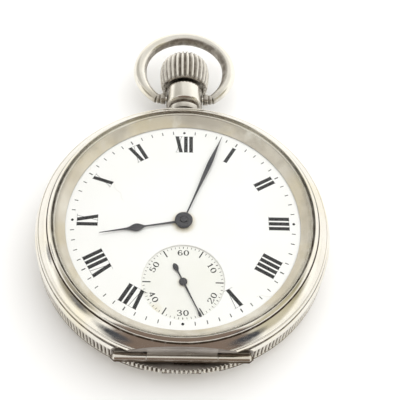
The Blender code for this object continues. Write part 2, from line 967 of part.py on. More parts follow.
def make_winding():
    """Winding pinion and clutch, crown wheel, ratchet wheel with the barrel's arbor, and click."""
    toward_ratchet = heading(CROWN_WHEEL, BARREL)
    radius = pitch(CROWN_WHEEL_TEETH, RATCHET_TEETH, CROWN_WHEEL, BARREL)
    module = 2 * radius / CROWN_WHEEL_TEETH
    flat(
        "crown_wheel",
        [
            teeth(CROWN_WHEEL_TEETH, radius, toward_ratchet, module),
            circle(0.85, 16),
        ],
        -5.75,
        -5.42,
        CROWN_WHEEL,
    )
    ratchet = flat(
        "ratchet_wheel",
        [
            teeth(
                RATCHET_TEETH,
                pitch(RATCHET_TEETH, CROWN_WHEEL_TEETH, BARREL, CROWN_WHEEL),
                gap_facing(RATCHET_TEETH, toward_ratchet + math.pi),
                module,
            )
        ],
        -5.75,
        -5.42,
        BARREL,
    )
    join(ratchet, arbor("barrel_arbor", BARREL, -5.85, -3.5, 0.9, 0.6, 0.6))

    # the crown wheel's tooth angle as it faces +Y sets where the winding pinion's gap must be
    winding = along_y(
        flat(
            "winding_pinion",
            [
                teeth(WINDING_TEETH, 2.17, gap_facing(WINDING_TEETH, 0.0), 0.2),
                [(0.45, 0.45), (-0.45, 0.45), (-0.45, -0.45), (0.45, -0.45)],
            ],
            17.3 - DIAL_HEIGHT,
            18.5 - DIAL_HEIGHT,
        )
    )
    clutch = along_y(
        flat(
            "clutch",
            [
                teeth(16, 1.55, 0.0, 0.25),
                [(0.45, 0.45), (-0.45, 0.45), (-0.45, -0.45), (0.45, -0.45)],
            ],
            18.65 - DIAL_HEIGHT,
            20.6 - DIAL_HEIGHT,
        )
    )
    click_at = (BARREL[0] - 5.3, BARREL[1] + 5.1)
    beak = heading(click_at, BARREL)
    nose = [
        (0.55, -0.7),
        (1.85, -0.28),
        (2.02, 0.1),
        (1.5, 0.35),
        (0.4, 0.7),
        (-0.6, 0.5),
        (-0.75, -0.3),
    ]
    click = flat(
        "click",
        [
            [
                (
                    x * math.cos(beak) - y * math.sin(beak),
                    x * math.sin(beak) + y * math.cos(beak),
                )
                for x, y in nose
            ],
            circle(0.34, 12),
        ],
        -5.75,
        -5.45,
        click_at,
    )
    return winding, clutch, click, click_at


BRIDGE_PILLARS = {
    "barrel_bridge": [(-17.5, 7.0), (15.5, 9.0), (7.5, 17.8)],
    "train_bridge": [(15.5, -9.5), (4.0, -18.3), (-6.2, -15.5)],
}
COCK_FOOT = (-18.4, 0.4)
PALLET_FEET = [(-7.3, -5.25), (-9.52, -10.79)]
CASE_SCREWS = [(20.1, 1.0), (-18.9, -7.2)]


def screw(name, centre, head_top, head_depth, reach, head=0.95, shank=0.42):
    """A slotted screw with its head away from the dial."""
    piece = turned(
        name,
        [
            (0.0, reach),
            (shank, reach),
            (shank, head_top + head_depth),
            (head, head_top + head_depth),
            (head, head_top),
            (0.0, head_top),
        ],
        12,
        centre,
        ring=False,
    )
    slot = block(
        name + "_slot",
        (centre[0] - 2, centre[1] - 0.12, head_top - 1),
        (centre[0] + 2, centre[1] + 0.12, head_top + 0.15),
    )
    return cut(piece, slot)


def make_frame():
    """Main plate, bridges and cocks, with their screws and jewels."""
    plate = turned(
        "main_plate",
        [
            (PLATE_RADIUS, PLATE_TOP),
            (PLATE_RADIUS, PLATE_BOTTOM),
            (0.95, PLATE_BOTTOM),
            (0.95, PLATE_TOP),
        ],
    )
    minute_post = post("minute_post", 0.24, MINUTE_WHEEL, PLATE_TOP - 0.3, -0.9, 12)
    join(plate, minute_post)
    cut(
        plate,
        block("stem_channel", (-2.6, 15.4, -4), (2.6, 23, -1)),
        post("fourth_hole", 0.3, FOURTH, -4, -1, 12),
        post("barrel_hole", 0.65, BARREL, -4, -2.8, 16),
    )
    for name, at in (("third", THIRD), ("escape", ESCAPE), ("pallet", PALLET), ("balance", BALANCE)):
        cut(plate, post(f"{name}_pivot_hole", 0.2, at, -4, -2.9, 10))

    barrel_bridge = post("barrel_bridge", 21.2, CENTRE, BRIDGE_BOTTOM, BRIDGE_TOP, FACETS)
    cut(
        barrel_bridge,
        block("barrel_bridge_edge", (-30, -30, -8), (30, -1.6, -5)),
        block("barrel_bridge_corner", (-30, -30, -8), (-13.4, 4.4, -5)),
    )
    train_bridge = post("train_bridge", 21.2, CENTRE, BRIDGE_BOTTOM, BRIDGE_TOP, FACETS)
    cut(
        train_bridge,
        block("train_bridge_edge", (-30, -2.0, -8), (30, 30, -5)),
        block("train_bridge_side", (-30, -30, -8), (-8.6, 30, -5)),
        post("train_bridge_bay", 6.3, BALANCE, -8, -5, 40),
    )
    cock = flat(
        "balance_cock",
        [stadium(BALANCE, COCK_FOOT, 2.3, 2.1)],
        BRIDGE_BOTTOM,
        BRIDGE_TOP,
    )
    join(cock, post("cock_foot", 1.9, COCK_FOOT, -6.0, PLATE_BOTTOM - 0.02, 20))
    pallet_cock = flat("pallet_cock", [stadium(*PALLET_FEET, 0.75, 0.75, 6)], -4.82, -4.58)
    for i, foot in enumerate(PALLET_FEET):
        join(pallet_cock, post(f"pallet_foot_{i}", 0.7, foot, -4.7, PLATE_BOTTOM - 0.02, 12))
    cut(pallet_cock, post("pallet_cock_hole", 0.18, PALLET, -5, -4, 8))

    for bridge in (barrel_bridge, train_bridge):
        feet = BRIDGE_PILLARS[bridge.name]
        for i, foot in enumerate(feet):
            join(bridge, post(f"{bridge.name}_pillar_{i}", 1.2, foot, -6.0, PLATE_BOTTOM - 0.02, 16))
        for i, foot in enumerate(feet):
            hole = post(f"{bridge.name}_screw_hole_{i}", 0.5, foot, -8, -2.2, 12)
            cut(bridge, hole)
            cut(plate, hole)
            screw(f"{bridge.name}_screw_{i + 1}", foot, BRIDGE_BOTTOM - 0.42, 0.38, -2.3)
    hole = post("cock_screw_hole", 0.5, COCK_FOOT, -8, -2.2, 12)
    cut(cock, hole)
    cut(plate, hole)
    screw("balance_cock_screw", COCK_FOOT, BRIDGE_BOTTOM - 0.42, 0.38, -2.3)

    # pivots turn in jewels let into the bridges, the two big arbors in plain holes
    for name, at, bridge in (
        ("third_jewel", THIRD, train_bridge),
        ("fourth_jewel", FOURTH, train_bridge),
        ("escape_jewel", ESCAPE, train_bridge),
        ("balance_jewel", BALANCE, cock),
    ):
        cut(
            bridge,
            post(name + "_seat", 0.8, at, -8, -6.35, 12),
            post(name + "_way", 0.3, at, -7, -5, 8),
        )
        turned(
            name,
            [(0.74, -6.4), (0.74, -6.8), (0.2, -6.7), (0.2, -6.4)],
            12,
            at,
        )
    cut(
        barrel_bridge,
        post("centre_top_hole", 0.42, CENTRE, -8, -5, 12),
        post("barrel_top_hole", 0.66, BARREL, -8, -5, 16),
    )
    crown_core = post("crown_wheel_core", 0.78, CROWN_WHEEL, -6.2, -5.36, 16)
    join(barrel_bridge, crown_core)
    return plate, barrel_bridge


def make_click_post(bridge, at):
    join(bridge, post("click_post", 0.29, at, -6.2, -5.38, 12))


def make_case_screws(plate):
    """Two screws whose heads hold the plate's rim against the dial's side of the band."""
    for i, at in enumerate(CASE_SCREWS):
        cut(plate, post(f"case_screw_hole_{i}", 0.5, at, -4, -2.2, 12))
        screw(f"case_screw_{i + 1}", at, PLATE_BOTTOM - 0.42, 0.38, -2.3, 0.9)


# ---- colours ------------------------------------------------------------------------------------------
def paint(groups):
    for names, (colour, roughness, metallic) in groups:
        for name in names:
            material = bpy.data.materials.new(name)
            material.use_nodes = True
            shader = material.node_tree.nodes["Principled BSDF"]
            shader.inputs["Base Color"].default_value = (*colour, 1.0)
            shader.inputs["Roughness"].default_value = roughness
            shader.inputs["Metallic"].default_value = metallic
            if "crystal" in name:
                shader.inputs["Transmission Weight"].default_value = 1.0
            bpy.data.objects[name].data.materials.append(material)


def main():
    make_band()
    bezel = make_bezel()
    back = make_back()
    crystal = turned(
        "crystal",
        [
            (0.0, 4.3),
            (9.0, 4.05),
            (17.0, 3.3),
            (GLASS_RADIUS, 2.5),
            (GLASS_RADIUS, 2.08),
            (21.5, 2.08),
            (16.9, 2.75),
            (9.0, 3.45),
            (0.0, 3.7),
        ],
        48,
        ring=False,
    )
    make_pendant()
    bow = make_bow()
    crown = make_crown()
    stem = make_stem()
    rod("bezel_hinge_pin", 0.3, (-FRONT_HALF + 0.05, *FRONT_HINGE), (FRONT_HALF - 0.05, *FRONT_HINGE), 12)
    rod("back_hinge_pin", 0.19, (-BACK_HALF + 0.05, *BACK_HINGE), (BACK_HALF - 0.05, *BACK_HINGE), 12)
    make_dial()
    make_hands()
    make_train()
    make_escapement()
    make_motion_work()
    _, _, _, click_at = make_winding()
    plate, barrel_bridge = make_frame()
    make_click_post(barrel_bridge, click_at)
    make_case_screws(plate)

    on_axis("bezel_axis", (0, FRONT_HINGE[0], DIAL_HEIGHT + FRONT_HINGE[1]), bezel, crystal)
    on_axis("back_axis", (0, BACK_HINGE[0], DIAL_HEIGHT + BACK_HINGE[1]), back)
    on_axis("bow_axis", (0, bow_axis_y(), DIAL_HEIGHT + STEM_HEIGHT), bow)
    on_axis("crown_axis", (0, CROWN_BASE, DIAL_HEIGHT + STEM_HEIGHT), crown, stem)

    names = {obj.name for obj in PARTS.objects if obj.type == "MESH"}
    blued = {n for n in names if n.endswith("_hand") or "_screw" in n or n == "hairspring"}
    ruby = {n for n in names if n.endswith("_jewel")}
    steel = {
        "stem",
        "crown_wheel",
        "ratchet_wheel",
        "winding_pinion",
        "clutch",
        "click",
        "cannon_pinion",
        "pallet_fork",
        "escape_wheel",
        "mainspring",
        "bezel_hinge_pin",
        "back_hinge_pin",
        "pallet_cock",
    }
    gilt = {"main_plate", "barrel_bridge", "train_bridge", "balance_cock"}
    brass = {n for n in names if n.endswith("_wheel") or n.startswith("barrel")} - steel - gilt - blued
    silver = {"case_band", "bezel", "back_cover", "pendant", "bow", "crown"}
    groups = [
        (sorted(silver), SILVER),
        (sorted(steel), STEEL),
        (sorted(gilt), GILT),
        (sorted(brass), BRASS),
        (sorted(blued), BLUED),
        (sorted(ruby), RUBY),
        (["dial"], ENAMEL),
        (["crystal"], GLASS),
    ]
    paint(groups)


main()
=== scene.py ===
"""Surfaces, finishes and studio for the open face pocket watch.

Lengths are millimetres, and heights are measured from the top of the dial until a mesh is made. +Y is 12
o'clock. A vertex's grime and shade value is how dark its finish is painted there: grime and stain in
places, painted shade in recesses, grooves and under the hinge barrels, and painted shade and painted
reflection on the dark sides of the bow, pendant and crown.
"""

import json
import math

import bmesh
import bpy
import numpy as np
from mathutils import Matrix, Vector


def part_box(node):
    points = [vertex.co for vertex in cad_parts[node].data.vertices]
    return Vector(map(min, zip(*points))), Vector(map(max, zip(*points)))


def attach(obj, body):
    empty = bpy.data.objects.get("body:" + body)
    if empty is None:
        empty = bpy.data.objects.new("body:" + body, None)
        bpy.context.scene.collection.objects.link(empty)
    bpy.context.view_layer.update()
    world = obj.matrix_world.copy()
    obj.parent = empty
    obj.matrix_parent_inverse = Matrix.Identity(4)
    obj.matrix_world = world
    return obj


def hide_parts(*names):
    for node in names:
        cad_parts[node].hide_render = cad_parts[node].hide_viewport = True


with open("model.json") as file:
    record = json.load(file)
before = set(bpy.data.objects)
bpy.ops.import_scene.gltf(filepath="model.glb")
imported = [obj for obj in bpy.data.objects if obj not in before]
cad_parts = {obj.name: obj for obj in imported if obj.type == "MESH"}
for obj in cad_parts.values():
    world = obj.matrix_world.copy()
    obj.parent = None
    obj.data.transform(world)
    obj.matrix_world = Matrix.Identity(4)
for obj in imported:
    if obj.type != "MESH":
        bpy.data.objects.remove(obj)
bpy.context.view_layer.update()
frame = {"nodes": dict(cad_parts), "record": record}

MM = 0.001
TURN = 2 * math.pi
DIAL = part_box("dial")[1].z / MM  # height of the dial's top over the table
STEM = sum(corner.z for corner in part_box("stem")) / 2 / MM - DIAL  # height of the stem's axis
SUB_Y = sum(corner.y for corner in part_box("fourth_jewel")) / 2 / MM  # middle of the seconds dial
CROWN_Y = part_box("crown")[0].y / MM  # the crown's inner end
BOW_RADIUS = 8.75  # middle of its wire
BOW_CENTRE = 36.6
BOW_WIRE = 1.27
BOW_END = 5.3  # sideways from the middle, where the ring turns into its eyes
BOW_Y = BOW_CENTRE - math.sqrt(BOW_RADIUS**2 - BOW_END**2)  # the axis that it turns about
BAND_RADIUS = 25.44
REEDS = 216  # grooves round the milled edge
REED_DEPTH = 0.27
REED_LOW, REED_HIGH = -5.2, -1.95
CHORD = 23.45  # from the middle to the bezel's flat face at its hinge
FRONT_HINGE, BACK_HINGE = (-23.6, -2.75), (-24.75, -5.45)  # y and height of the pins
FRONT_KNUCKLE, BACK_KNUCKLE = 0.76, 0.42  # radii of the barrels on them
FLUTES = 28  # ridges round the crown
HOUR_ANGLE, MINUTE_ANGLE, SECOND_ANGLE = 259.5, 21.0, 154.7  # degrees clockwise from 12
MOST_GRIME_AND_SHADE = 1.3


# ---- node materials ------------------------------------------------------------------------------
class Nodes:
    """Short names for the nodes that the finishes share."""

    def __init__(self, name):
        self.material = bpy.data.materials.new(name)
        self.material.use_nodes = True
        self.tree = self.material.node_tree
        self.tree.nodes.clear()
        self.out = self.add("ShaderNodeOutputMaterial")
        self.place = self.add("ShaderNodeTexCoord").outputs["Object"]  # metres

    def add(self, kind, **values):
        node = self.tree.nodes.new(kind)
        for key, value in values.items():
            setattr(node, key, value)
        return node

    def link(self, a, b):
        self.tree.links.new(a, b)

    def put(self, value, socket):
        """Gives a socket a value, a colour or a link."""
        if isinstance(value, bpy.types.NodeSocket):
            self.link(value, socket)
        elif isinstance(value, (tuple, list)) and len(value) == 3 and len(socket.default_value) == 4:
            socket.default_value = (*value, 1)
        else:
            socket.default_value = value

    def noise(self, scale, detail=3.0, stretch=(1, 1, 1), roughness=0.55, distortion=0.0):
        """Noise with a feature about 1/scale of a millimetre, in 0..1."""
        at = self.add("ShaderNodeMapping")
        at.inputs["Scale"].default_value = stretch
        self.link(self.place, at.inputs["Vector"])
        node = self.add("ShaderNodeTexNoise")
        self.link(at.outputs["Vector"], node.inputs["Vector"])
        node.inputs["Scale"].default_value = scale * 1000
        node.inputs["Detail"].default_value = detail
        node.inputs["Roughness"].default_value = roughness
        node.inputs["Distortion"].default_value = distortion
        return node.outputs["Fac"]

    def ramp(self, value, low, high, out_low=0.0, out_high=1.0):
        """Maps low..high to out_low..out_high and stops at both."""
        node = self.add("ShaderNodeMapRange")
        self.put(value, node.inputs["Value"])
        for key, number in (
            ("From Min", low),
            ("From Max", high),
            ("To Min", out_low),
            ("To Max", out_high),
        ):
            node.inputs[key].default_value = number
        return node.outputs["Result"]

    def maths(self, how, a, b=0.0):
        node = self.add("ShaderNodeMath", operation=how)
        self.put(a, node.inputs[0])
        self.put(b, node.inputs[1])
        return node.outputs[0]

    def blend(self, share, a, b):
        """The colour a, or b where share is 1."""
        node = self.add("ShaderNodeMix", data_type="RGBA")
        self.put(share, node.inputs["Factor"])
        self.put(a, node.inputs["A"])
        self.put(b, node.inputs["B"])
        return node.outputs["Result"]

    def attribute(self, name):
        return self.add("ShaderNodeAttribute", attribute_name=name).outputs["Fac"]

    def bump(self, height, depth, before=None):
        """A bump of that depth in millimetres."""
        node = self.add("ShaderNodeBump")
        node.inputs["Strength"].default_value = 1.0
        node.inputs["Distance"].default_value = depth * MM
        self.put(height, node.inputs["Height"])
        if before is not None:
            self.link(before, node.inputs["Normal"])
        return node.outputs["Normal"]

    def principled(self, **values):
        shader = self.add("ShaderNodeBsdfPrincipled")
        for key, value in values.items():
            self.put(value, shader.inputs[key.replace("_", " ")])
        return shader

    def finish(self, shader):
        self.link(shader.outputs[0], self.out.inputs["Surface"])
        return self.material


def smooth(value, low, high):
    """0 below low, 1 above high, and a soft step between them."""
    t = min(1.0, max(0.0, (value - low) / (high - low)))
    return t * t * (3 - 2 * t)


def metal(
    name,
    light,
    dark,
    gloss=(0.1, 0.24),
    waves=0.02,
    scratches=0.0016,
    grime_and_shade=(0.09, 0.065, 0.045),
    satin=0.0,
    tarnish=None,
    metallic=1.0,
):
    """Polished or satin metal: clouded colour, patchy gloss, scratches, soft dents, grime and painted shade.

    gloss is the range of the roughness, and waves, scratches and satin are depths in millimetres.
    """
    n = Nodes(name)
    cloud = n.ramp(n.noise(0.16, 5.0), 0.34, 0.68)
    colour = n.blend(cloud, light, dark)
    speck = n.ramp(n.noise(2.6, 2.0), 0.66, 0.8, 0.0, 0.35)
    colour = n.blend(speck, colour, tuple(0.6 * c for c in dark))
    if tarnish:
        colour = n.blend(n.ramp(n.noise(0.09, 4.0, distortion=0.5), 0.5, 0.72, 0.0, 0.65), colour, tarnish)
    # grime and painted shade: the vertex value darkens the colour towards the grime colour
    dirt_and_shade = n.maths("MULTIPLY", n.attribute("grime_and_shade"), n.ramp(n.noise(0.9, 4.0), 0.25, 0.6, 0.6, 1.0))
    colour = n.blend(dirt_and_shade, colour, grime_and_shade)
    patch = n.ramp(n.noise(0.35, 4.0), 0.3, 0.72, gloss[0], gloss[1])
    rubbed = n.ramp(n.noise(3.0, 2.0, stretch=(0.1, 1, 1)), 0.35, 0.75, -0.03, 0.07)
    rough = n.maths("ADD", n.maths("ADD", patch, rubbed), n.maths("MULTIPLY", dirt_and_shade, 0.4))
    dents = n.bump(n.noise(0.1, 1.5), waves)
    hair = n.noise(6.0, 3.0, stretch=(0.06, 1, 1), distortion=0.4)
    cross = n.noise(5.0, 3.0, stretch=(1, 0.07, 1), distortion=0.6)
    lines = n.bump(n.maths("ADD", hair, cross), scratches, dents)
    if satin:
        lines = n.bump(n.noise(9.0, 2.0), satin, lines)
        # painted highlight: lighter cream patches; painted shade: the darker patches below
        painted_highlight = n.ramp(n.noise(0.28, 4.0, stretch=(1, 0.5, 1)), 0.56, 0.72, 0.0, 0.8)
        colour = n.blend(painted_highlight, colour, (0.95, 0.92, 0.85))
        shade = n.ramp(n.noise(0.2, 5.0, stretch=(0.6, 1, 1), distortion=0.4), 0.52, 0.7, 0.0, 0.6)
        colour = n.blend(shade, colour, (0.46, 0.41, 0.33))
    return n.finish(
        n.principled(Base_Color=colour, Metallic=metallic, Roughness=rough, Normal=lines)
    )


def gilded(name):
    """Frosted gilding: a fine even grain, brighter where it has been handled."""
    n = Nodes(name)
    colour = n.blend(n.ramp(n.noise(0.2, 4.0), 0.3, 0.7), (0.83, 0.62, 0.30), (0.72, 0.52, 0.24))
    colour = n.blend(n.ramp(n.noise(1.6, 3.0), 0.66, 0.8, 0.0, 0.4), colour, (0.35, 0.22, 0.09))
    rough = n.ramp(n.noise(0.5, 3.0), 0.3, 0.7, 0.3, 0.44)
    grain = n.bump(n.noise(14.0, 2.0), 0.006, n.bump(n.noise(0.25, 1.0), 0.01))
    return n.finish(n.principled(Base_Color=colour, Metallic=1.0, Roughness=rough, Normal=grain))


def blued(name):
    """Heat-blued steel, nearly black, with a bluer and a browner side."""
    n = Nodes(name)
    colour = n.blend(n.ramp(n.noise(0.3, 3.0), 0.35, 0.65), (0.06, 0.062, 0.072), (0.095, 0.093, 0.1))
    colour = n.blend(n.ramp(n.noise(4.0, 2.0), 0.62, 0.8, 0.0, 0.5), colour, (0.15, 0.15, 0.16))
    rough = n.ramp(n.noise(1.2, 3.0), 0.3, 0.7, 0.34, 0.5)
    fine = n.bump(n.noise(8.0, 2.0, stretch=(0.2, 1, 1)), 0.002)
    return n.finish(n.principled(Base_Color=colour, Metallic=0.5, Roughness=rough, Normal=fine))


def enamel(name, white, tint):
    """Fired enamel: glassy, very slightly uneven, with pinholes and a faint tint where it has aged."""
    n = Nodes(name)
    colour = n.blend(n.ramp(n.noise(0.12, 3.0), 0.35, 0.7), white, tint)
    pin = n.ramp(n.noise(3.4, 1.0), 0.8, 0.84, 0.0, 0.5)
    colour = n.blend(pin, colour, (0.55, 0.52, 0.46))
    stain = n.maths("MULTIPLY", n.attribute("grime_and_shade"), n.ramp(n.noise(0.8, 3.0), 0.3, 0.6, 0.5, 1.0))
    colour = n.blend(stain, colour, (0.66, 0.55, 0.30))
    rough = n.ramp(n.noise(0.6, 3.0), 0.3, 0.7, 0.07, 0.14)
    uneven = n.bump(n.noise(0.16, 2.0), 0.006)
    return n.finish(
        n.principled(
            Base_Color=colour, Roughness=rough, Normal=uneven, Coat_Weight=0.4, Coat_Roughness=0.05
        )
    )


def painted(name, colour, other):
    """Fired black figures, a little thin in places."""
    n = Nodes(name)
    tone = n.blend(n.ramp(n.noise(2.5, 3.0), 0.4, 0.75), colour, other)
    rough = n.ramp(n.noise(2.0, 2.0), 0.3, 0.7, 0.22, 0.4)
    return n.finish(
        n.principled(Base_Color=tone, Roughness=rough, Normal=n.bump(n.noise(5.0, 2.0), 0.002))
    )


def watch_glass(name, tint=(0.99, 0.99, 0.985)):
    """Thin clear glass: it shows what is under it, and mirrors more towards its edge."""
    n = Nodes(name)
    smear = n.ramp(n.noise(0.3, 3.0), 0.35, 0.75, 0.015, 0.06)
    clear = n.add("ShaderNodeBsdfTransparent")
    clear.inputs["Color"].default_value = (*tint, 1)
    gloss = n.principled(
        Base_Color=(0.9, 0.92, 0.92),
        Roughness=smear,
        Normal=n.bump(n.noise(2.2, 2.0, stretch=(0.1, 1, 1)), 0.0008),
        Specular_IOR_Level=0.5,
        Metallic=1.0,
    )
    edge = n.add("ShaderNodeFresnel")
    edge.inputs["IOR"].default_value = 1.3
    mix = n.add("ShaderNodeMixShader")
    n.link(n.maths("MULTIPLY", edge.outputs[0], 0.5), mix.inputs["Fac"])
    n.link(clear.outputs[0], mix.inputs[1])
    n.link(gloss.outputs[0], mix.inputs[2])
    return n.finish(mix)


def ruby(name):
    """Polished ruby of an uneven red."""
    n = Nodes(name)
    colour = n.blend(n.ramp(n.noise(1.5, 3.0), 0.3, 0.7), (0.50, 0.03, 0.09), (0.30, 0.01, 0.05))
    rough = n.ramp(n.noise(3.0, 2.0), 0.3, 0.7, 0.05, 0.14)
    return n.finish(
        n.principled(
            Base_Color=colour, Roughness=rough, Normal=n.bump(n.noise(3.0, 1.0), 0.003), Coat_Weight=0.6
        )
    )


SILVER = metal(
    "silver_polished",
    (0.87, 0.84, 0.775),
    (0.78, 0.745, 0.67),
    gloss=(0.07, 0.17),
    waves=0.03,
    tarnish=(0.80, 0.74, 0.58),
)
SATIN = metal(
    "silver_satin",
    (0.85, 0.80, 0.71),
    (0.66, 0.60, 0.50),
    gloss=(0.36, 0.5),
    waves=0.01,
    scratches=0.003,
    satin=0.002,
    tarnish=(0.74, 0.64, 0.42),
    metallic=0.4,
)
# a darker copy of the silver: painted shade on the flat faces at the hinges
SILVER_PAINTED_SHADE = metal(
    "silver_painted_shade", (0.39, 0.355, 0.325), (0.26, 0.235, 0.215), gloss=(0.24, 0.42), waves=0.006
)
FINISH = {
    "silver": SILVER,
    "steel": metal(
        "steel_polished",
        (0.62, 0.62, 0.63),
        (0.50, 0.50, 0.52),
        gloss=(0.16, 0.3),
        waves=0.004,
        scratches=0.002,
    ),
    "blued_steel": blued("steel_blued"),
    "gilt": gilded("gilt_frosted"),
    "brass": metal(
        "brass_polished",
        (0.86, 0.66, 0.34),
        (0.74, 0.54, 0.25),
        gloss=(0.16, 0.3),
        waves=0.004,
        scratches=0.002,
        grime_and_shade=(0.12, 0.07, 0.03),
    ),
    "enamel": enamel("enamel_white", (0.915, 0.918, 0.925), (0.9, 0.9, 0.895)),
    "ruby": ruby("ruby_polished"),
    "glass": watch_glass("glass_clear"),
}
# painted shade: a greyer glass for the edge, where real glass looks dark
GLASS_EDGE_PAINTED_SHADE = watch_glass("glass_edge_painted_shade", (0.78, 0.77, 0.73))
CREAM = enamel("enamel_seconds", (0.86, 0.86, 0.835), (0.83, 0.83, 0.79))
BLACK = painted("enamel_black", (0.012, 0.012, 0.014), (0.03, 0.03, 0.032))
CRACK = painted("enamel_hairline", (0.62, 0.60, 0.55), (0.72, 0.70, 0.66))

# the CAD pieces that nothing replaces wear the same finishes
for part in frame["record"]["subparts"]:
    node = frame["nodes"].get(part["node"])
    if node is not None and part["material_slot"] in FINISH:
        node.data.materials.clear()
        node.data.materials.append(FINISH[part["material_slot"]])


# ---- meshes --------------------------------------------------------------------------------------
UPRIGHT = Matrix.Translation((0, 0, DIAL))
ALONG_Y = Matrix.Translation((0, 0, DIAL + STEM)) @ Matrix.Rotation(-math.pi / 2, 4, "X")


def along_x(axis):
    """Puts a turned shape's axis along X, through (y, height)."""
    return Matrix.Translation((0, axis[0], DIAL + axis[1])) @ Matrix.Rotation(math.pi / 2, 4, "Y")


def rounded(points, steps=5):
    """A closed outline of (x, y, radius, grime and shade) corners, each rounded by its radius."""
    out = []
    count = len(points)
    for i, point in enumerate(points):
        radius = point[2] if len(point) > 2 else 0
        grime_and_shade = point[3] if len(point) > 3 else 0
        here = Vector(point[:2])
        before = Vector(points[i - 1][:2]) - here
        after = Vector(points[(i + 1) % count][:2]) - here
        if radius <= 0 or before.length < 1e-6 or after.length < 1e-6:
            out.append((*here, grime_and_shade))
            continue
        half = before.angle(after) / 2
        if half > math.pi / 2 - 0.02:
            out.append((*here, grime_and_shade))
            continue
        reach = min(radius / math.tan(half), before.length * 0.48, after.length * 0.48)
        size = reach * math.tan(half)
        a, b = before.normalized(), after.normalized()
        middle = here + (a + b).normalized() * (size / math.sin(half))
        start = here + a * reach - middle
        turn = math.pi - 2 * half
        side = -1 if a.x * b.y - a.y * b.x > 0 else 1
        for k in range(steps + 1):
            spun = Matrix.Rotation(side * turn * k / steps, 2) @ start
            out.append((*(middle + spun), grime_and_shade))
    return out


def through(points, each=5):
    """A smooth open line through the points."""
    pts = [Vector(p) for p in points]
    pts = [2 * pts[0] - pts[1]] + pts + [2 * pts[-1] - pts[-2]]
    out = []
    for i in range(1, len(pts) - 2):
        a, b, c, d = pts[i - 1 : i + 3]
        for k in range(each):
            t = k / each
            out.append(
                0.5
                * (2 * b + (c - a) * t + (2 * a - 5 * b + 4 * c - d) * t * t + (3 * b - a - 3 * c + d) * t**3)
            )
    out.append(pts[-2])
    return [tuple(p) for p in out]


def lathe(profile, count, matrix=UPRIGHT, closed=True, reach=None, finish=None, groove_darkening=4.5):
    """A turned bmesh from (radius, height, grime and shade) points. reach(radius, height, angle) can change
    the radius, the last argument is the grime and painted shade added for each millimetre that reach takes
    off, and finish(point, next point) is the number of the material between two points."""
    bm = bmesh.new()
    layer = bm.verts.layers.float.new("grime_and_shade")
    rings = []
    for j, point in enumerate(profile):
        ring = []
        for i in range(count):
            angle = TURN * i / count
            radius = reach(point[0], point[1], angle) if reach else point[0]
            vertex = bm.verts.new(
                matrix @ Vector((radius * math.cos(angle), radius * math.sin(angle), point[1]))
            )
            vertex[layer] = point[2] if len(point) > 2 else 0.0
            # grime and painted shade: grooves darken by their depth
            if reach:
                vertex[layer] = min(MOST_GRIME_AND_SHADE, vertex[layer] + groove_darkening * abs(point[0] - radius))
            ring.append(vertex)
        rings.append(ring)
    pairs = list(zip(rings, rings[1:]))
    if closed:
        pairs.append((rings[-1], rings[0]))
    for j, (a, b) in enumerate(pairs):
        for i in range(count):
            k = (i + 1) % count
            face = bm.faces.new((a[i], a[k], b[k], b[i]))
            if finish:
                face.material_index = finish(profile[j], profile[(j + 1) % len(profile)])
    bmesh.ops.remove_doubles(bm, verts=bm.verts, dist=1e-5)
    return bm


def prism(bm, outline, low, high):
    """Extrudes an outline of (x, y) points between two heights, and gives back its upper face."""
    bottom = [bm.verts.new(UPRIGHT @ Vector((x, y, low))) for x, y in outline]
    top = [bm.verts.new(UPRIGHT @ Vector((x, y, high))) for x, y in outline]
    bm.faces.new(reversed(bottom))
    lid = bm.faces.new(top)
    count = len(outline)
    for i in range(count):
        k = (i + 1) % count
        bm.faces.new((bottom[i], bottom[k], top[k], top[i]))
    return lid


def piece(name, bm, materials, body, sharp=32, nodes=()):
    """Makes the object, shades it, hangs it on its CAD body, and hides the CAD nodes that it replaces."""
    bmesh.ops.recalc_face_normals(bm, faces=bm.faces)
    for vertex in bm.verts:
        vertex.co *= MM
    mesh = bpy.data.meshes.new(name)
    bm.to_mesh(mesh)
    bm.free()
    mesh.shade_smooth()
    mesh.set_sharp_from_angle(angle=math.radians(sharp))
    for material in materials:
        mesh.materials.append(material)
    obj = bpy.data.objects.new(name, mesh)
    bpy.context.scene.collection.objects.link(obj)
    if body:
        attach(obj, body)
        if nodes:
            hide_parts(*nodes)
    return obj


def cutter(name, bm):
    """A loose object to carve with."""
    return piece(name, bm, [SILVER], None)


def carve(obj, *cutters, sharp=32):
    """Cuts the cutters out of the mesh and removes them."""
    for tool in cutters:
        step = obj.modifiers.new(tool.name, "BOOLEAN")
        step.solver = "EXACT"
        step.operation = "DIFFERENCE"
        step.object = tool
    bpy.context.view_layer.update()
    seen = obj.evaluated_get(bpy.context.evaluated_depsgraph_get())
    mesh = bpy.data.meshes.new_from_object(seen)
    old = obj.data
    obj.modifiers.clear()
    obj.data = mesh
    bpy.data.meshes.remove(old)
    mesh.set_sharp_from_angle(angle=math.radians(sharp))
    for tool in cutters:
        bpy.data.objects.remove(tool, do_unlink=True)


def cuboid(low, high):
    """A box between two opposite corners."""
    bm = bmesh.new()
    bmesh.ops.create_cube(bm, size=1.0)
    for vertex in bm.verts:
        corner = [(a + b) / 2 + (b - a) * c for a, b, c in zip(low, high, vertex.co)]
        vertex.co = Vector(corner) + Vector((0, 0, DIAL))
    return bm


def block(name, low, high):
    """A box to carve with."""
    return cutter(name, cuboid(low, high))


def add_block(bm, low, high, soften):
    """Adds a box with softened edges to a bmesh."""
    extra = cuboid(low, high)
    bmesh.ops.bevel(extra, geom=extra.edges[:], offset=soften, segments=3, profile=0.5, affect="EDGES")
    absorb(bm, extra)


def absorb(bm, extra):
    """Moves everything in one bmesh into another."""
    mesh = bpy.data.meshes.new("part")
    bmesh.ops.recalc_face_normals(extra, faces=extra.faces)
    extra.to_mesh(mesh)
    extra.free()
    bm.from_mesh(mesh)
    bpy.data.meshes.remove(mesh)


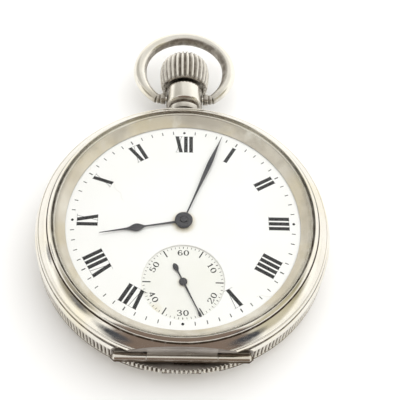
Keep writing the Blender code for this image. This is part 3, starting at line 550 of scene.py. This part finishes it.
def knuckle(bm, axis, radius, low, high, bevel_low=0.08, bevel_high=0.08, count=40):
    """Adds a hinge barrel along X with chamfered ends, with painted shade underneath."""
    profile = [
        (0.0, low, 0),
        (radius - bevel_low * 0.8, low, 0.5),
        (radius, low + bevel_low, 0.1),
        (radius, high - bevel_high, 0.1),
        (radius - bevel_high * 0.8, high, 0.5),
        (0.0, high, 0),
    ]
    barrel = lathe(profile, count, along_x(axis), closed=False)
    layer = barrel.verts.layers.float["grime_and_shade"]
    # painted shade: the barrel darkens below its axis
    for vertex in barrel.verts:
        down = (DIAL + axis[1] - vertex.co.z) / radius
        vertex[layer] = max(vertex[layer], MOST_GRIME_AND_SHADE * smooth(down, -0.8, -0.3))
    absorb(bm, barrel)


# ---- case band -----------------------------------------------------------------------------------
def reeded(radius, height, angle):
    """The milled edge: upright grooves that run out above and below."""
    if radius < 24.9 or not REED_LOW < height < REED_HIGH:
        return radius
    fade = min(1.0, (height - REED_LOW) / 0.15, (REED_HIGH - height) / 0.2)
    wave = 0.5 - 0.5 * math.cos(REEDS * angle)
    return radius - REED_DEPTH * fade * wave**1.2


def make_band():
    """The case middle, notched for the two hinges and bored for the stem, and its hinge barrels."""
    outer = through([(25.0, -0.9), (25.2, -1.12), (25.4, -1.5), (BAND_RADIUS, -1.9)], 4)
    outer += [(BAND_RADIUS, height) for height in (-1.98, -2.2, -3.0, -4.0, -4.8)]
    outer += [(25.43, -5.04), (25.41, -5.2), (25.38, -5.3)]
    # the third numbers are grime and painted shade; 0.9 on the band's top, under the bezel's bead, is painted
    # shade
    profile = (
        [(23.5, 0.0, 0.3), (23.5, -0.9, 0.8)]
        + [(r, h, 0.9 if h > -1.0 else 0.05) for r, h in outer]
        + [(24.2, -5.3, 0.8), (24.2, -5.8, 0.4), (21.7, -5.8, 0.2), (21.7, 0.0, 0.2)]
    )
    bm = lathe(profile, REEDS * 8, reach=reeded)
    band = piece("case_middle", bm, [SILVER], "case", 40, ["case_band"])
    notches = (
        block("notch", (-11.7, -30, -3.65), (11.7, -22.75, 1)),
        block("notch_under", (-3.4, -30, -6.2), (3.4, -24.05, -4.95)),
    )
    carve(band, *notches, sharp=40)
    bore = lathe([(0, 15, 0), (1, 15, 0), (1, 30, 0), (0, 30, 0)], 32, ALONG_Y, False)
    carve(band, cutter("stem_bore", bore), sharp=40)
    # painted shade: the notch's floor and front face take the darker silver
    band.data.materials.append(SILVER_PAINTED_SHADE)
    for face in band.data.polygons:
        x, y, height = face.center.x / MM, face.center.y / MM, face.center.z / MM - DIAL
        at_hinge = abs(x) < 11.75 and y < -22.7 and height > -3.7
        if at_hinge and (face.normal.z > 0.9 or face.normal.y < -0.9):
            face.material_index = len(band.data.materials) - 1
    lugs = bmesh.new()
    for low, high, ends in ((-11.4, -5.73, (0.62, 0.03)), (5.73, 11.4, (0.03, 0.62))):
        knuckle(lugs, FRONT_HINGE, FRONT_KNUCKLE, low, high, *ends)
        add_block(lugs, (low + 0.5, -23.6, -3.35), (high - 0.5, -22.3, -2.65), 0.05)
    for low, high in ((-3.2, -1.26), (1.26, 3.2)):
        knuckle(lugs, BACK_HINGE, BACK_KNUCKLE, low, high)
        add_block(lugs, (low + 0.1, -24.95, -5.3), (high - 0.1, -23.9, -4.7), 0.03)
    piece("case_hinge_lugs", lugs, [SILVER], "case", 34)


def make_bezel():
    """The bezel's ring, cut straight at 6 o'clock, where its hinge barrel is."""
    slope = through([(23.2, 1.64), (23.62, 1.3), (24.05, 0.88), (24.4, 0.48), (24.6, 0.24)], 6)
    bead = through(
        [(24.61, 0.2), (24.78, 0.16), (24.95, -0.1), (25.0, -0.4), (24.96, -0.68), (24.86, -0.8)], 4
    )
    # the third numbers are painted shade: dark in the groove behind the rim, on the glass's seat and wall,
    # and at the rehaut's top and foot
    profile = (
        [(22.3, 2.42, 0.8), (22.34, 2.48, 0.1), (22.42, 2.49, 0.0), (22.54, 2.42, 0.0), (22.86, 2.18, 0.0)]
        + [(22.95, 2.08, 0.1), (22.99, 1.95, 0.9), (23.01, 1.68, 1.2), (23.17, 1.6, 1.2)]
        + [(r, h, 0.0) for r, h in slope]
        + [(r, h, 0.9 if r < 24.65 else 0.0) for r, h in bead]
        + [
            (23.6, -0.8, 0.5),
            (23.6, 0.12, 0.3),
            (20.2, 0.12, 0.3),
            (20.15, 0.17, 0.2),
            (20.17, 0.28, 0.1),
            (20.26, 0.34, 0.0),
            (21.2, 1.305, 0.0),
            (21.7, 1.82, 0.3),
            (21.8, 1.93, 0.1),
            (21.92, 1.98, 0.3),
            (22.05, 1.98, 1.0),
            (22.3, 1.98, 1.0),
        ]
    )

    materials = [SILVER, SATIN, SILVER_PAINTED_SHADE]

    def finish(a, b):
        """Satin on the slope between the dial and the glass."""
        return materials.index(SATIN if a[0] < 21.65 and a[1] > 0.13 else SILVER)

    bm = lathe(profile, 384, finish=finish)
    layer = bm.verts.layers.float["grime_and_shade"]
    for vertex in bm.verts:
        radius = math.hypot(vertex.co.x, vertex.co.y)
        if 21.6 < radius < 22.4:  # painted shade on the glass's seat and the rehaut's top, lighter towards 12
            vertex[layer] *= 1 - 0.85 * smooth(vertex.co.y / radius, 0.2, 0.85)
    geometry = bm.verts[:] + bm.edges[:] + bm.faces[:]
    cut = bmesh.ops.bisect_plane(
        bm, geom=geometry, plane_co=(0, -CHORD, 0), plane_no=(0, -1, 0), clear_outer=True
    )
    rim = [e for e in cut["geom_cut"] if isinstance(e, bmesh.types.BMEdge)]
    bmesh.ops.triangle_fill(bm, edges=rim, use_beauty=True, use_dissolve=True)
    add_block(bm, (-5.6, -CHORD - 0.015, -2.45), (5.6, -22.95, 0.6), 0.06)
    # painted shade: the flat face at the hinge takes the darker silver
    for face in bm.faces:
        if all(vertex.co.y < -CHORD + 0.02 for vertex in face.verts):
            face.material_index = materials.index(SILVER_PAINTED_SHADE)
    knuckle(bm, FRONT_HINGE, FRONT_KNUCKLE, -5.67, 5.67, 0.03, 0.03)
    piece("bezel_ring", bm, materials, "bezel", 30, ["bezel"])


def make_glass():
    """The domed watch glass, with painted shade that makes it greyer at its edge."""
    outer = through(
        [(0.0, 4.3), (4.5, 4.26), (9.0, 4.05), (13.4, 3.72), (17.0, 3.3), (20.0, 2.86), (22.05, 2.5)], 6
    )
    inner = through(
        [(21.5, 2.08), (19.4, 2.4), (16.9, 2.75), (13.2, 3.12), (9.0, 3.45), (4.5, 3.64), (0.0, 3.7)], 6
    )
    glass = outer + [(22.16, 2.44), (22.2, 2.34), (22.2, 2.14), (22.14, 2.08)] + inner
    bm = lathe(glass, 192, closed=False, finish=lambda a, b: 1 if min(a[0], b[0]) > 21.9 else 0)
    piece("watch_glass", bm, [FINISH["glass"], GLASS_EDGE_PAINTED_SHADE], "bezel", 50, ["crystal"])


def make_back():
    """The domed back, with a chord cut off at its hinge, and its hinge barrel."""
    rim = [(25.45, -5.42), (25.3, -5.75), (24.3, -6.3), (23.0, -6.85)]
    outer = through(rim + [(19.5, -8.08), (15.0, -8.95), (9.0, -9.38)], 6)
    inner = through([(9.0, -8.93), (14.8, -8.48), (19.3, -7.62), (22.6, -6.45), (24.3, -5.85)], 5)
    profile = [(r, max(h, -9.4), 0.4 if h > -5.7 else 0.0) for r, h in outer]
    profile += [(8.6, -9.4, 0.0), (0.0, -9.4, 0.0), (0.0, -8.93, 0.1)] + [(r, h, 0.1) for r, h in inner]
    profile += [(24.3, -5.42, 0.4)]
    bm = lathe(profile, 288)
    back = piece("back_shell", bm, [SILVER], "back", 32, ["back_cover"])
    carve(back, block("chord", (-6.1, -30, -6.02), (6.1, -24.15, -4)))
    foot = bmesh.new()
    knuckle(foot, BACK_HINGE, BACK_KNUCKLE, -1.14, 1.14)
    add_block(foot, (-1.05, -24.65, -6.2), (1.05, -24.2, -5.5), 0.03)
    piece("back_knuckle", foot, [SILVER], "back")


# ---- pendant, bow, crown -------------------------------------------------------------------------
def make_pendant():
    """The neck, with a groove round its foot and a hole in each side for the bow's pegs."""
    profile = rounded(
        [
            (3.1, 31.8, 0.12),
            (3.45, 31.35, 0.2),
            (3.45, 27.85, 0.35),
            (3.02, 27.5, 0.1, 0.5),
            (2.7, 27.32, 0.15, 1.0),
            (2.7, 26.95, 0.12, 1.0),
            (3.05, 26.65, 0.12, 0.2),
            (3.05, 25.55, 0.0, 0.6),
            (1.0, 25.55, 0.0, 0.4),
            (1.0, 31.8, 0.0, 0.8),
        ]
    )
    bm = lathe(profile, 128, ALONG_Y)
    layer = bm.verts.layers.float["grime_and_shade"]
    # painted shade and painted reflection: the neck darkens towards its sides
    for vertex in bm.verts:
        vertex[layer] = max(vertex[layer], 0.8 * smooth(abs(vertex.co.x), 2.55, 3.3))
    pendant = piece("pendant_neck", bm, [SILVER], "case", 36, ["pendant"])
    for sign in (-1, 1):
        hole = lathe(
            [(0, sign * 2.2, 0), (0.68, sign * 2.2, 0), (0.68, sign * 5, 0), (0, sign * 5, 0)],
            32,
            along_x((BOW_Y, STEM)),
            False,
        )
        carve(pendant, cutter("bow_hole", hole), sharp=36)


def make_bow():
    """The bow's wire, round, thinned towards two flat eyes that turn on the pendant's sides."""
    opening = math.asin(BOW_END / BOW_RADIUS)
    count, around = 180, 28
    bm = bmesh.new()
    layer = bm.verts.layers.float.new("grime_and_shade")
    rings = []
    for i in range(count + 1):
        share = i / count
        angle = -math.pi / 2 + opening + (TURN - 2 * opening) * share
        out = Vector((math.cos(angle), math.sin(angle), 0))
        away = min(share, 1 - share) * count / 9  # from the nearer end
        size = BOW_WIRE * min(1.0, 0.7 + 0.1 * away)
        ring = []
        for k in range(around):
            a = TURN * k / around
            point = Vector((0, BOW_CENTRE, DIAL + STEM)) + out * (BOW_RADIUS + size * math.cos(a))
            vertex = bm.verts.new(point + Vector((0, 0, size * math.sin(a))))
            # painted shade and painted reflection: the wire darkens on its inner side and near its eyes
            start = 0.42 - 0.22 * out.x
            inside = 0.8 * smooth(-math.cos(a), start, start + 0.35)
            vertex[layer] = max(0.0, 0.5 - 0.35 * away, inside)
            ring.append(vertex)
        rings.append(ring)
    for a, b in zip(rings, rings[1:]):
        for k in range(around):
            m = (k + 1) % around
            bm.faces.new((a[k], a[m], b[m], b[k]))
    bm.faces.new(rings[0])
    bm.faces.new(reversed(rings[-1]))
    for sign in (-1, 1):
        eye = rounded(
            [
                (0, sign * 3.64),
                (1.04, sign * 3.64, 0.12, 0.8),
                (1.04, sign * 4.5, 0.1, 0.4),
                (0.84, sign * 4.66, 0.1, 0.9),
                (0.92, sign * 5.3, 0.3, 0.4),
                (0, sign * 5.7),
            ]
        )
        absorb(bm, lathe(eye, 48, along_x((BOW_Y, STEM)), False))
        peg = [(0, sign * 2.35, 0), (0.58, sign * 2.35, 0), (0.58, sign * 4.5, 0), (0, sign * 4.5, 0)]
        absorb(bm, lathe(peg, 24, along_x((BOW_Y, STEM)), False))
    piece("bow_ring", bm, [SILVER], "bow", 40, ["bow"])


def make_crown():
    """The winding crown, with rounded ridges that run out over its end."""
    plain = 1.6  # radius of the end's smooth middle
    groove_depth = 0.46
    side = [(4.28, 0.0), (4.42, 0.25), (4.64, 1.4), (4.79, 2.8), (4.79, 3.9), (4.7, 4.9)]
    end = [(4.42, 5.75), (3.9, 6.5), (3.2, 7.05), (2.3, 7.45), (1.2, 7.62)]
    shape = through(side + end, 5)

    def reach(radius, height, angle):
        """Cuts the grooves, shallower towards both ends."""
        up = height - CROWN_Y
        if radius < plain:
            return radius
        deep = groove_depth * min(1.0, 0.35 + up / 0.5) * min(1.0, max(0.0, (radius - plain) / 1.9))
        wave = abs(math.cos(FLUTES * angle / 2))
        return radius - deep * wave**2.2

    # painted shade: the skirt and the inside of the crown are darkened, and the grooves by their depth
    skirt = [(3.82, CROWN_Y, 0.4)]
    skirt += [(r, CROWN_Y + h, 0.4 if h < 0.3 else 0.0) for r, h in shape]
    skirt += [(0.0, CROWN_Y + 7.65, 0.0)]
    bm = lathe(skirt, FLUTES * 14, ALONG_Y, closed=False, reach=reach, groove_darkening=2.0)
    inside = [(3.82, 0.0, 0.3), (3.75, 0.06, 0.3), (3.75, 1.0, 0.6), (0.0, 1.0, 0.6)]
    inside = [(r, CROWN_Y + h, grime_and_shade) for r, h, grime_and_shade in inside]
    absorb(bm, lathe(inside, 96, ALONG_Y, closed=False))
    piece("crown_cap", bm, [SILVER], "crown", 44, ["crown"])


# ---- dial ----------------------------------------------------------------------------------------
def make_dial():
    """The enamel dial, stained round the hole for the hands and cut out for the seconds dial."""
    profile = [
        (20.9, -0.8, 0.3),
        (20.9, -0.12, 0.1),
        (20.78, 0.0, 0.0),
        (20.0, 0.0, 0.0),
        (3.2, 0.0, 0.0),
        (2.35, 0.0, 0.02),
        (2.05, 0.0, 0.3),
        (1.7, 0.0, 0.5),
        (1.3, 0.0, 0.55),
        (1.25, -0.05, 0.9),
        (1.25, -0.8, 0.9),
    ]
    dial = piece(
        "enamel_dial", lathe(profile, 256), [FINISH["enamel"]], "case", 30, ["dial"]
    )
    sunk = lathe(
        [(0, 2, 0), (6.98, 2, 0), (6.98, 0.02, 0), (6.86, -0.1, 0), (6.86, -3, 0), (0, -3, 0)],
        160,
        Matrix.Translation((0, SUB_Y, DIAL)),
        False,
    )
    carve(dial, cutter("sink", sunk), sharp=30)


def make_seconds_dial():
    """The sunk seconds dial, with a stain at its lower left and a dark hole in the middle."""
    rings = [0.55, 1.2, 2.2, 3.2, 4.2, 5.2, 5.8, 6.3, 6.7, 6.83]
    profile = [(0.55, -0.8, 0.4)] + [(r, -0.3, 0.0) for r in rings] + [(6.9, -0.26, 0.1), (6.9, -0.8, 0.1)]
    bm = lathe(profile, 160, Matrix.Translation((0, SUB_Y, DIAL)))
    layer = bm.verts.layers.float["grime_and_shade"]
    for vertex in bm.verts:
        x, y = vertex.co.x, vertex.co.y - SUB_Y
        stain = 0.55 * max(0.0, 1 - math.hypot(x + 4.6, y + 5.1) / 1.7)
        hole = 0.3 if math.hypot(x, y) < 0.6 else 0.0
        vertex[layer] = max(vertex[layer], stain, hole)
    piece("seconds_dial", bm, [CREAM], "case", 30)


def placed(angle, shape, radius, flip=False, centre=(0.0, 0.0)):
    """Local (across, out) points moved to a clock angle; flip stands the figures with their feet outwards."""
    a = math.radians(angle)
    across, out = Vector((math.cos(a), -math.sin(a))), Vector((math.sin(a), math.cos(a)))
    if flip:
        across = -across
        return [tuple(Vector(centre) + across * x + out * (radius - y)) for x, y in shape]
    return [tuple(Vector(centre) + across * x + out * (radius + y)) for x, y in shape]


def stroke(x0, y0, x1, y1, width):
    """A straight stroke with level ends, as in Roman capitals."""
    half = width / 2
    return [(x0 - half, y0), (x0 + half, y0), (x1 + half, y1), (x1 - half, y1)]


THICK, THIN = 0.66, 0.075  # the two strokes of the hour figures
TALL = 3.56
SERIF = 0.022  # half a serif's thickness


def letters(word):
    """The strokes of a Roman figure, about its middle."""
    widths = {"I": 0.95, "V": 1.72, "X": 1.52}
    total = sum(widths[c] for c in word)
    at, strokes = -total / 2, []
    low, high = -TALL / 2, TALL / 2
    for c in word:
        w = widths[c]
        m = at + w / 2
        if c == "I":
            strokes.append(stroke(m, low, m, high, THICK))
        elif c == "V":
            strokes.append(stroke(m + 0.08, low, m - 0.44, high, THICK))
            strokes.append(stroke(m + 0.14, low, m + 0.62, high, THIN))
        else:
            strokes.append(stroke(m + 0.36, low, m - 0.36, high, THICK))
            strokes.append(stroke(m - 0.46, low, m + 0.46, high, THIN))
        corners = ((-1, -1), (1, -1), (1, 1), (-1, 1))
        for y in (low + SERIF, high - SERIF):
            strokes.append([(m + sx * (w / 2 - 0.03), y + sy * SERIF) for sx, sy in corners])
        at += w
    return strokes


# each figure's pen lines, on a box 1 wide and 1 high
FIGURES = {
    "0": [[(0.5 + 0.4 * math.sin(t), 0.5 + 0.5 * math.cos(t)) for t in np.linspace(0, TURN, 25)]],
    "1": [[(0.28, 0.8), (0.55, 1.0), (0.55, 0.0)], [(0.3, 0.0), (0.8, 0.0)]],
    "2": [
        [(0.14, 0.74), (0.2, 0.93), (0.48, 1.0), (0.8, 0.9), (0.82, 0.66)]
        + [(0.5, 0.36), (0.1, 0.0), (0.9, 0.0), (0.92, 0.16)]
    ],
    "3": [
        [(0.14, 0.8), (0.26, 0.96), (0.55, 1.0), (0.8, 0.86), (0.74, 0.62), (0.45, 0.53)]
        + [(0.78, 0.44), (0.86, 0.2), (0.62, 0.02), (0.3, 0.0), (0.1, 0.16)]
    ],
    "4": [[(0.95, 0.28), (0.05, 0.28), (0.66, 1.0), (0.66, 0.0)]],
    "5": [
        [(0.84, 1.0), (0.26, 1.0), (0.2, 0.56), (0.55, 0.64), (0.86, 0.46)]
        + [(0.84, 0.16), (0.56, 0.0), (0.24, 0.02), (0.1, 0.18)]
    ],
    "6": [
        [(0.82, 0.86), (0.6, 1.0), (0.34, 0.92), (0.16, 0.6), (0.16, 0.28), (0.34, 0.04)]
        + [(0.62, 0.0), (0.86, 0.16), (0.86, 0.42), (0.62, 0.56), (0.34, 0.5), (0.18, 0.34)]
    ],
}


def penned(bm, line, width, height, left, thin, thick, place, low, high):
    """A pen line: thick where it runs up and down, thin where it runs across."""
    points = [(left + x * width, (y - 0.5) * height) for x, y in line]
    fine = through(points, 4) if len(points) > 4 else points
    for (x0, y0), (x1, y1) in zip(fine, fine[1:]):
        run = Vector((x1 - x0, y1 - y0))
        if run.length < 1e-6:
            continue
        upright = abs(run.y) / run.length
        half = (thin + (thick - thin) * upright**1.5) / 2
        side = Vector((-run.y, run.x)).normalized() * half
        along = run.normalized() * 0.02
        a, b = Vector((x0, y0)) - along, Vector((x1, y1)) + along
        prism(bm, place([tuple(p) for p in (a + side, a - side, b - side, b + side)]), low, high)


def make_figures():
    """The hour figures but 6, which the seconds dial takes, and the minute track, just above the enamel."""
    low, high = -0.02, 0.012
    figures_at, track_at = 16.45, 19.0
    words = dict(enumerate("I II III IIII V VI VII VIII IX X XI XII".split(), 1))
    bm = bmesh.new()
    for hour in (12, 1, 2, 3, 4, 5, 7, 8, 9, 10, 11):
        for outline in letters(words[hour]):
            prism(bm, placed(30 * hour, outline, figures_at), low, high)
    for minute in range(60):
        if minute % 15 == 0:
            mark = [(0.24 * math.cos(TURN * k / 16), 0.24 * math.sin(TURN * k / 16)) for k in range(16)]
        elif minute % 5 == 0:
            mark = stroke(0, -0.36, 0, 0.36, 0.2)
        else:
            mark = stroke(0, -0.33, 0, 0.33, 0.15)
        prism(bm, placed(6 * minute, mark, track_at), low, high)
    piece("dial_figures", bm, [BLACK], "case", 30)


def make_seconds_figures():
    """The seconds track and its figures, 20 to 40 with their feet outwards."""
    centre = (0.0, SUB_Y)
    low, high = -0.32, -0.288
    ticks_at, bars_at, figures_at = 6.5, 6.04, 5.52
    width, height, pitch = 0.86, 0.92, 1.06
    thin, thick = 0.07, 0.2
    bm = bmesh.new()
    for second in range(60):
        if second % 10 == 5:
            mark, radius = stroke(0, -0.68, 0, 0.68, 0.2), bars_at
        else:
            mark, radius = stroke(0, -0.17, 0, 0.17, 0.13 if second % 5 == 0 else 0.085), ticks_at
        prism(bm, placed(6 * second, mark, radius, centre=centre), low, high)
    for second in (60, 10, 20, 30, 40, 50):

        def place(shape):
            return placed(6 * second, shape, figures_at, 15 < second < 45, centre)

        for k, figure in enumerate(str(second)):
            for line in FIGURES[figure]:
                penned(bm, line, width, height, -0.98 + k * pitch, thin, thick, place, low, high)
    piece("seconds_figures", bm, [BLACK], "case", 30)


def make_hairlines():
    """Three faint cracks in the enamel, each from start to end in a number of bends."""
    cracks = (
        ((-14.9, 13.6), (-18.6, 8.0), 9),
        ((12.0, -13.9), (19.2, -13.4), 8),
        ((-12.9, 8.5), (-10.4, 4.0), 6),
    )
    bm = bmesh.new()
    for start, end, bends in cracks:
        a, b = Vector(start), Vector(end)
        side = Vector((-(b - a).y, (b - a).x)).normalized()
        line = [
            a.lerp(b, k / bends) + side * (0.35 * math.sin(2.1 * k + a.x) * math.sin(math.pi * k / bends))
            for k in range(bends + 1)
        ]
        for p, q in zip(line, line[1:]):
            thick = side * 0.028
            prism(bm, [tuple(p - thick), tuple(p + thick), tuple(q + thick), tuple(q - thick)], -0.02, 0.004)
    piece("dial_hairlines", bm, [CRACK], "case", 30)


# ---- hands ---------------------------------------------------------------------------------------
def hand(bm, angle, stations, low, high, centre=(0.0, 0.0)):
    """A hand from (distance, half width) stations, its upper edges softened."""
    outline = [(w, d) for d, w in stations] + [(-w, d) for d, w in reversed(stations)]
    blade = bmesh.new()
    lid = prism(blade, placed(angle, outline, 0.0, centre=centre), low, high)
    bmesh.ops.bevel(
        blade, geom=list(lid.edges), offset=0.022, segments=2, profile=0.5, affect="EDGES", clamp_overlap=True
    )
    absorb(bm, blade)


def boss(bm, profile, centre=(0.0, 0.0), count=72):
    """Adds a hand's turned hub to it."""
    absorb(bm, lathe(profile, count, Matrix.Translation((*centre, DIAL))))


def make_hour_hand():
    """A spade hand."""
    bm = bmesh.new()
    neck = [(1.1, 0.2), (3.0, 0.155), (5.2, 0.13), (6.6, 0.14)]
    spade = [(7.1, 0.34), (7.75, 0.66), (8.3, 0.7), (8.9, 0.5), (9.5, 0.25)]
    tip = [(10.3, 0.15), (12.2, 0.09), (14.5, 0.03)]
    hand(bm, HOUR_ANGLE, through(neck + spade + tip, 6), 0.36, 0.5)
    boss(bm, [(1.09, 0.3), (1.36, 0.3), (1.4, 0.34), (1.4, 0.48), (1.34, 0.53), (1.09, 0.53)])
    piece("hour_hand_blued", bm, [FINISH["blued_steel"]], "hour", 30, ["hour_hand"])


def make_minute_hand():
    """A lance-shaped hand, with a cap over the middle."""
    bm = bmesh.new()
    rise = [(1.2, 0.12), (4.0, 0.14), (7.0, 0.2), (10.0, 0.33), (12.4, 0.4)]
    fall = [(14.2, 0.34), (16.2, 0.19), (18.0, 0.08), (19.1, 0.03)]
    hand(bm, MINUTE_ANGLE, through(rise + fall, 6), 0.68, 0.8)
    boss(bm, [(0.7, 0.62), (1.46, 0.62), (1.54, 0.68), (1.54, 0.78), (1.46, 0.87), (1.0, 0.94), (0.7, 0.96)])
    boss(bm, [(0.0, 0.86), (0.62, 0.86), (0.62, 1.0), (0.5, 1.1), (0.3, 1.15), (0.0, 1.17)], count=48)
    piece("minute_hand_blued", bm, [FINISH["blued_steel"]], "minute", 30, ["minute_hand"])


def make_seconds_hand():
    """A needle with a leaf-shaped tail."""
    bm = bmesh.new()
    tail = [(-3.7, 0.05), (-3.45, 0.3), (-3.0, 0.44), (-2.5, 0.34), (-2.1, 0.14), (-1.2, 0.12)]
    needle = [(0.5, 0.16), (3.5, 0.1), (5.6, 0.1), (6.3, 0.2), (6.9, 0.13)]
    hub = [(0.0, -0.12), (0.6, -0.12), (0.69, -0.06), (0.69, 0.06), (0.6, 0.13), (0.3, 0.18), (0.0, 0.19)]
    hand(bm, SECOND_ANGLE, through(tail + needle, 5), -0.05, 0.05, (0.0, SUB_Y))
    boss(bm, hub, (0.0, SUB_Y), 48)
    piece("seconds_hand_blued", bm, [FINISH["blued_steel"]], "seconds", 30, ["seconds_hand"])


# ---- studio --------------------------------------------------------------------------------------
def make_floor():
    """White paper, 0.02 mm under the back."""
    n = Nodes("paper_white")
    tone = n.blend(n.ramp(n.noise(0.004, 3.0), 0.3, 0.7), (0.95, 0.947, 0.945), (0.935, 0.932, 0.93))
    rough = n.ramp(n.noise(0.02, 3.0), 0.3, 0.7, 0.65, 0.75)
    material = n.finish(
        n.principled(
            Base_Color=tone, Roughness=rough, Normal=n.bump(n.noise(1.5, 3.0), 0.004), Specular_IOR_Level=0.1
        )
    )
    bm = bmesh.new()
    bmesh.ops.create_grid(bm, x_segments=8, y_segments=8, size=2500)
    floor = piece("studio_floor", bm, [material], None)
    floor.location.z = -0.02 * MM


SKY = (1.25, 1.24, 1.2)  # the walls, brighter than paper
# direction, half angles where the patch is full and where it ends, and its colour
PATCHES = (
    ((0.0, 0.1, 1.0), 20, 60, (0.86, 0.85, 0.82)),
    ((-0.6, 0.5, 0.62), 12, 32, (0.6, 0.585, 0.55)),
    ((-0.87, -0.2, 0.47), 7, 23, (0.4, 0.375, 0.31)),
    ((0.87, -0.2, 0.49), 6, 22, (0.4, 0.38, 0.27)),
    ((0.8, -0.45, 0.4), 8, 22, (0.66, 0.62, 0.48)),
    ((-0.864, -0.328, 0.379), 3, 9, (0.2, 0.205, 0.23)),
    ((-0.964, 0.185, 0.184), 2, 7, (0.4, 0.4, 0.42)),
    ((0.0, -1.0, 0.4), 38, 44, (0.235, 0.18, 0.15)),
    ((-0.62, -0.7, 0.3), 4, 14, (0.08, 0.085, 0.1)),
    ((0.62, -0.7, 0.3), 4, 14, (0.08, 0.085, 0.1)),
)


def make_world():
    """A pale studio: bright walls, a softer top, and dimmer patches that the metal mirrors."""
    world = bpy.data.worlds.new("studio")
    bpy.context.scene.world = world
    world.use_nodes = True
    tree = world.node_tree
    tree.nodes.clear()
    out = tree.nodes.new("ShaderNodeOutputWorld")
    background = tree.nodes.new("ShaderNodeBackground")
    place = tree.nodes.new("ShaderNodeTexCoord").outputs["Generated"]

    def patch(direction, inner, outer, tone, before):
        """Mixes a soft round patch of a tone into the sky; inner and outer are its half angles in degrees."""
        dot = tree.nodes.new("ShaderNodeVectorMath")
        dot.operation = "DOT_PRODUCT"
        tree.links.new(place, dot.inputs[0])
        dot.inputs[1].default_value = Vector(direction).normalized()
        span = tree.nodes.new("ShaderNodeMapRange")
        span.interpolation_type = "SMOOTHSTEP"
        tree.links.new(dot.outputs["Value"], span.inputs["Value"])
        span.inputs["From Min"].default_value = math.cos(math.radians(outer))
        span.inputs["From Max"].default_value = math.cos(math.radians(inner))
        mix = tree.nodes.new("ShaderNodeMix")
        mix.data_type = "RGBA"
        tree.links.new(span.outputs["Result"], mix.inputs["Factor"])
        if isinstance(before, tuple):
            mix.inputs["A"].default_value = (*before, 1)
        else:
            tree.links.new(before, mix.inputs["A"])
        mix.inputs["B"].default_value = (*tone, 1)
        return mix.outputs["Result"]

    colour = SKY
    for direction, inner, outer, tone in PATCHES:
        colour = patch(direction, inner, outer, tone, colour)
    tree.links.new(colour, background.inputs["Color"])
    background.inputs["Strength"].default_value = 1.0
    tree.links.new(background.outputs[0], out.inputs["Surface"])


def make_lamp(name, at, size, watts, tone):
    """A soft lamp that the metal doesn't mirror, facing the watch; its place and size are metres."""
    lamp = bpy.data.lights.new(name, "AREA")
    lamp.shape = "RECTANGLE"
    lamp.size, lamp.size_y = size
    lamp.energy = watts
    lamp.color = tone
    obj = bpy.data.objects.new(name, lamp)
    bpy.context.scene.collection.objects.link(obj)
    obj.location = at
    obj.rotation_euler = (-Vector(at)).to_track_quat("-Z", "Y").to_euler()
    obj.visible_glossy = False


CAMERA_AT = (-3.153, -75.033, 125.139)  # the last is over the dial
CAMERA_TURN = (32.4324, -2.6236, -0.1751)  # degrees about X, then Y, then Z


def make_camera():
    """Above the 6 o'clock side, looking down at about 57 degrees."""
    camera = bpy.data.cameras.new("camera")
    camera.sensor_fit = "HORIZONTAL"
    camera.sensor_width = 36.0
    camera.lens = 76.5
    camera.clip_start, camera.clip_end = 0.005, 20
    obj = bpy.data.objects.new("camera", camera)
    bpy.context.scene.collection.objects.link(obj)
    x, y, height = CAMERA_AT
    obj.location = Vector((x, y, DIAL + height)) * MM
    obj.rotation_euler = [math.radians(angle) for angle in CAMERA_TURN]
    bpy.context.scene.camera = obj


make_band()
make_bezel()
make_glass()
make_back()
make_pendant()
make_bow()
make_crown()
make_dial()
make_seconds_dial()
make_figures()
make_seconds_figures()
make_hairlines()
make_hour_hand()
make_minute_hand()
make_seconds_hand()
make_floor()
make_world()
make_lamp("top_soft", (0.13, 0.05, 0.62), (0.9, 0.9), 3.4, (0.96, 0.98, 1.0))
make_camera()
bpy.context.scene.view_settings.view_transform = "Standard"
